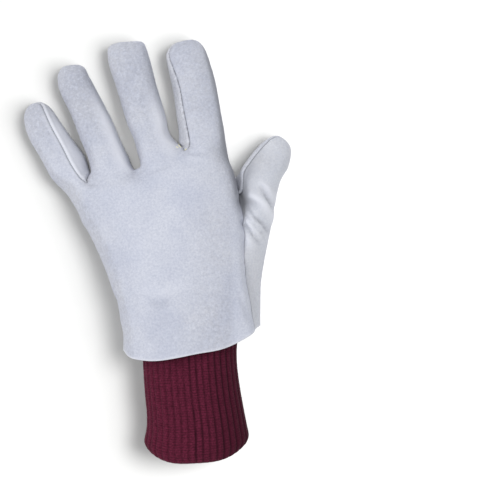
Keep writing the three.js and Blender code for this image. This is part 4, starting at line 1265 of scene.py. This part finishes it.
# %% Roll the welt
WELT_RADIUS, WELT_GAP, WELT_CORNERS = 1.5, 0.5, 18
corner_ids = [rows[KNUCKLE_ROW][column] for column in (17, 16, 15, 14, 13)]
welt_line = place[corner_ids] + facing[corner_ids] * (WELT_RADIUS + WELT_GAP)
welt_line = smooth_line(welt_line, 150)
welt_way = unit(np.gradient(welt_line, axis=0))
welt_side = unit(np.cross((0, 0, 1), welt_way))
welt_rise = np.cross(welt_way, welt_side)
welt_points = []
for i, centre in enumerate(welt_line):
    close = min(i, len(welt_line) - 1 - i) / 5
    size = WELT_RADIUS * (math.sqrt(max(0.0, 1 - (1 - close) ** 2)) if close < 1 else 1.0)
    for corner in range(WELT_CORNERS):
        a = math.tau * corner / WELT_CORNERS
        lump = 1 + 0.06 * noise.noise(Vector((i * 0.12, math.cos(a), math.sin(a))))
        lip = 0.16 * hill(a - 4.2, 0.25)
        welt_points.append(centre + (welt_side[i] * math.cos(a) + welt_rise[i] * math.sin(a))
                           * max(size, 0.05) * (lump - lip))
welt_faces = wound(len(welt_line), WELT_CORNERS, False)
knuckle_welt = as_piece("knuckle_welt", welt_points, welt_faces, palm_suede, "palm_leather",
                        "finger_welt")
print("knuckle_welt", len(knuckle_welt.data.polygons), "faces")

# %% [markdown]
# ## Stitches
#
# Cream thread shows where a sheet is sewn down flat. Each stitch is a short, slightly sunken
# thread with round ends. It could be painted or be a bump in the material, but then it would
# stay flat at the edge of the flap. As geometry it is real relief, and it costs few faces.

# %% One stitch
THREAD, THREAD_RINGS, THREAD_CORNERS = 0.38, 7, 8


def thread_bit(start, middle, end, out):
    """Points and faces of one stitch, a thread that dives into the leather at both ends."""
    way = (end - start).normalized()
    side = way.cross(out).normalized()
    rise = side.cross(way)
    points = []
    for along in np.linspace(-1, 1, THREAD_RINGS):
        towards = end if along > 0 else start
        centre = middle.lerp(towards, abs(along)) - out * 0.25 * along ** 6
        size = THREAD * (1 - 0.75 * along ** 6)
        for corner in range(THREAD_CORNERS):
            a = math.tau * corner / THREAD_CORNERS
            points.append(centre + (side * math.cos(a) + rise * math.sin(a)) * size)
    last_ring = len(points) - THREAD_CORNERS
    faces = wound(THREAD_RINGS, THREAD_CORNERS, False).tolist()
    return points, faces + [list(range(THREAD_CORNERS))[::-1], list(range(last_ring, len(points)))]


def sewn(name, bits, slot):
    """One piece of all the stitches of a seam."""
    points, faces = [], []
    for bit_points, bit_faces in bits:
        faces += [[i + len(points) for i in face] for face in bit_faces]
        points += bit_points
    print(name, len(bits), "stitches")
    return as_piece(name, points, faces, cream_thread, slot)


def thread_material(name):
    made, shader, links = new_material(name)
    links.new(mixed(made, noise_of(made, 0.0008, 3), srgb(240, 237, 202), srgb(226, 219, 172)),
              shader.inputs["Base Color"])
    set_inputs(shader, {"Roughness": 0.7})
    ply = bumpy(made, noise_of(made, 0.0005, 2), 0.4, 0.0002)
    links.new(ply, shader.inputs["Normal"])
    return made


cream_thread = thread_material("cream_thread")
print("thread", THREAD * 2, "mm thick")

# %% [markdown]
# A seam is drawn as a line in plan. It is walked in even steps, one stitch at a time, and the
# start, middle and end of each stitch are put on the leather by casting a ray at it.

# %% Lay stitches along a line
STITCH_STEP, POINTS, SPOTS = 3.8, 20, (0, 8, 16)  # points a stitch, and those it is laid on


def surface_of(*pieces):
    points, faces = [], []
    for piece in pieces:
        faces += [[i + len(points) for i in p.vertices] for p in piece.data.polygons]
        points += [v.co / MM for v in piece.data.vertices]
    return bvhtree.BVHTree.FromPolygons(points, faces)


def on_surface(surface, x, y, upward):
    """Where a plan point meets a surface, from under the table or from above, and its normal."""
    start, way = ((x, y, -40), (0, 0, 1)) if upward else ((x, y, 90), (0, 0, -1))
    hit, out, _, _ = surface.ray_cast(Vector(start), Vector(way))
    return (None, None) if hit is None else (hit, out if out.dot(Vector(way)) < 0 else -out)


def stitch_line(line, surface, upward=True):
    """Stitches along a plan line, on the side of a surface that faces the table or us."""
    count = max(1, round(walked(line)[-1] / STITCH_STEP))
    dense = smooth_line(line, count * POINTS + 1)
    bits = []
    for i in range(0, count * POINTS, POINTS):
        spots = [on_surface(surface, *dense[i + j], upward) for j in SPOTS]
        if all(hit is not None for hit, _ in spots):
            start, middle, end = [hit for hit, _ in spots]
            bits.append(thread_bit(start, middle, end, spots[1][1]))
    return bits


def beside_line(line, distance):
    """The plan line moved sideways, to its left when the distance is positive."""
    way = unit(np.gradient(line, axis=0))
    return line + np.stack([-way[:, 1], way[:, 0]], axis=1) * distance


print("stitches are", STITCH_STEP, "mm apart")

# %% [markdown]
# Two rows of stitches hold the overlay to the palm, side by side along its whole edge: below
# the knuckles, along the heel, round the end at the thumb and round the slot.

# %% Sew the overlay
ROW_PLACES = (2.6, 5.4)
overlay_surface = surface_of(palm_overlay)
bits = []
top_line = smooth_line(knuckle_line[1:10] - (0, PATCH_BELOW_WELT), 60)
heel_line = np.array(hand_row(ROWS[HEEL_ROW]))[:PALM_START - 1:-1, :2]
thumb_under = np.array([[ring[4][:2], ring[6][:2]] for ring in [halfway] + thumb_rings[:1]])


def round_end(centre, radius, facing_turn, turns):
    """Points round an end, as degrees to the right (minus) or left of the way it faces."""
    turns = np.radians(list(turns)) + facing_turn
    return np.array(centre) + radius * np.stack([np.cos(turns), np.sin(turns)], axis=1)


thumb_round = round_end(THUMB_END, THUMB_END_ROUND + PATCH_INSET,
                        math.atan2(thumb_way[1], thumb_way[0]), range(-90, 91, 30))
slot_line = smooth_line(SLOT_LINE, 7)
slot_round = round_end(SLOT_LINE[0], SLOT_HALF - PATCH_INSET, math.pi, [45, 0, -45])
edge_line = np.concatenate([heel_line, thumb_under[:, 0], thumb_round, thumb_under[1:, 1],
                            beside_line(slot_line, PATCH_INSET - SLOT_HALF)[-2::-1], slot_round,
                            beside_line(slot_line, SLOT_HALF - PATCH_INSET)[:4]]) + GLOVE_SHIFT
lower_line = smooth_line(edge_line, 300)
for place_in in ROW_PLACES:
    bits += stitch_line(beside_line(top_line, -place_in), overlay_surface)
    bits += stitch_line(beside_line(lower_line, place_in + PATCH_INSET), overlay_surface)
overlay_stitches = sewn("overlay_stitches", bits, "palm_leather")

# %% [markdown]
# One row runs round the free edge of the flap. At the end of the gap beside the index finger
# the ends of the thread were left long, and a few short bits of it still show there.

# %% Sew the flap and tie off the index finger
flap_surface = surface_of(wrist_flap)
flap_edge = np.array([tab_points[i, 0, :2] for i in range(20, 62, 3)]
                     + [tab_points[-1, j, :2] for j in range(6, TAB_ACROSS - 6, 6)]
                     + [tab_points[i, -1, :2] for i in range(61, 19, -3)])
flap_line = smooth_line(beside_line(smooth_line(flap_edge, 60), 2.4), 60)
flap_stitches = sewn("flap_stitches", stitch_line(flap_line, flap_surface), "palm_leather")

# plan lines of the thread ends, on the glove as seen from above
KNOT_LINES = [[(14.6, 76.6), (16.8, 73.9), (18.4, 73.0)], [(19.6, 71.8), (21.6, 73.4)],
              [(13.4, 74.6), (15.6, 73.2)]]
shell_surface = surface_of(back_of_hand, palm_side, middle_front)
knots = [bit for line in KNOT_LINES
         for bit in stitch_line(np.array(line) + GLOVE_SHIFT, shell_surface, upward=False)]
sewn("crotch_threads", knots, "back_leather")

# %% [markdown]
# The overlay and the flap are the two sheets that lie on something else.

for sheet in (palm_overlay, wrist_flap):
    both_sides = sum(face.area for face in sheet.data.polygons)
    print(sheet.name, "has", round(both_sides / 2 * 1e4, 1), "square centimetres a side")
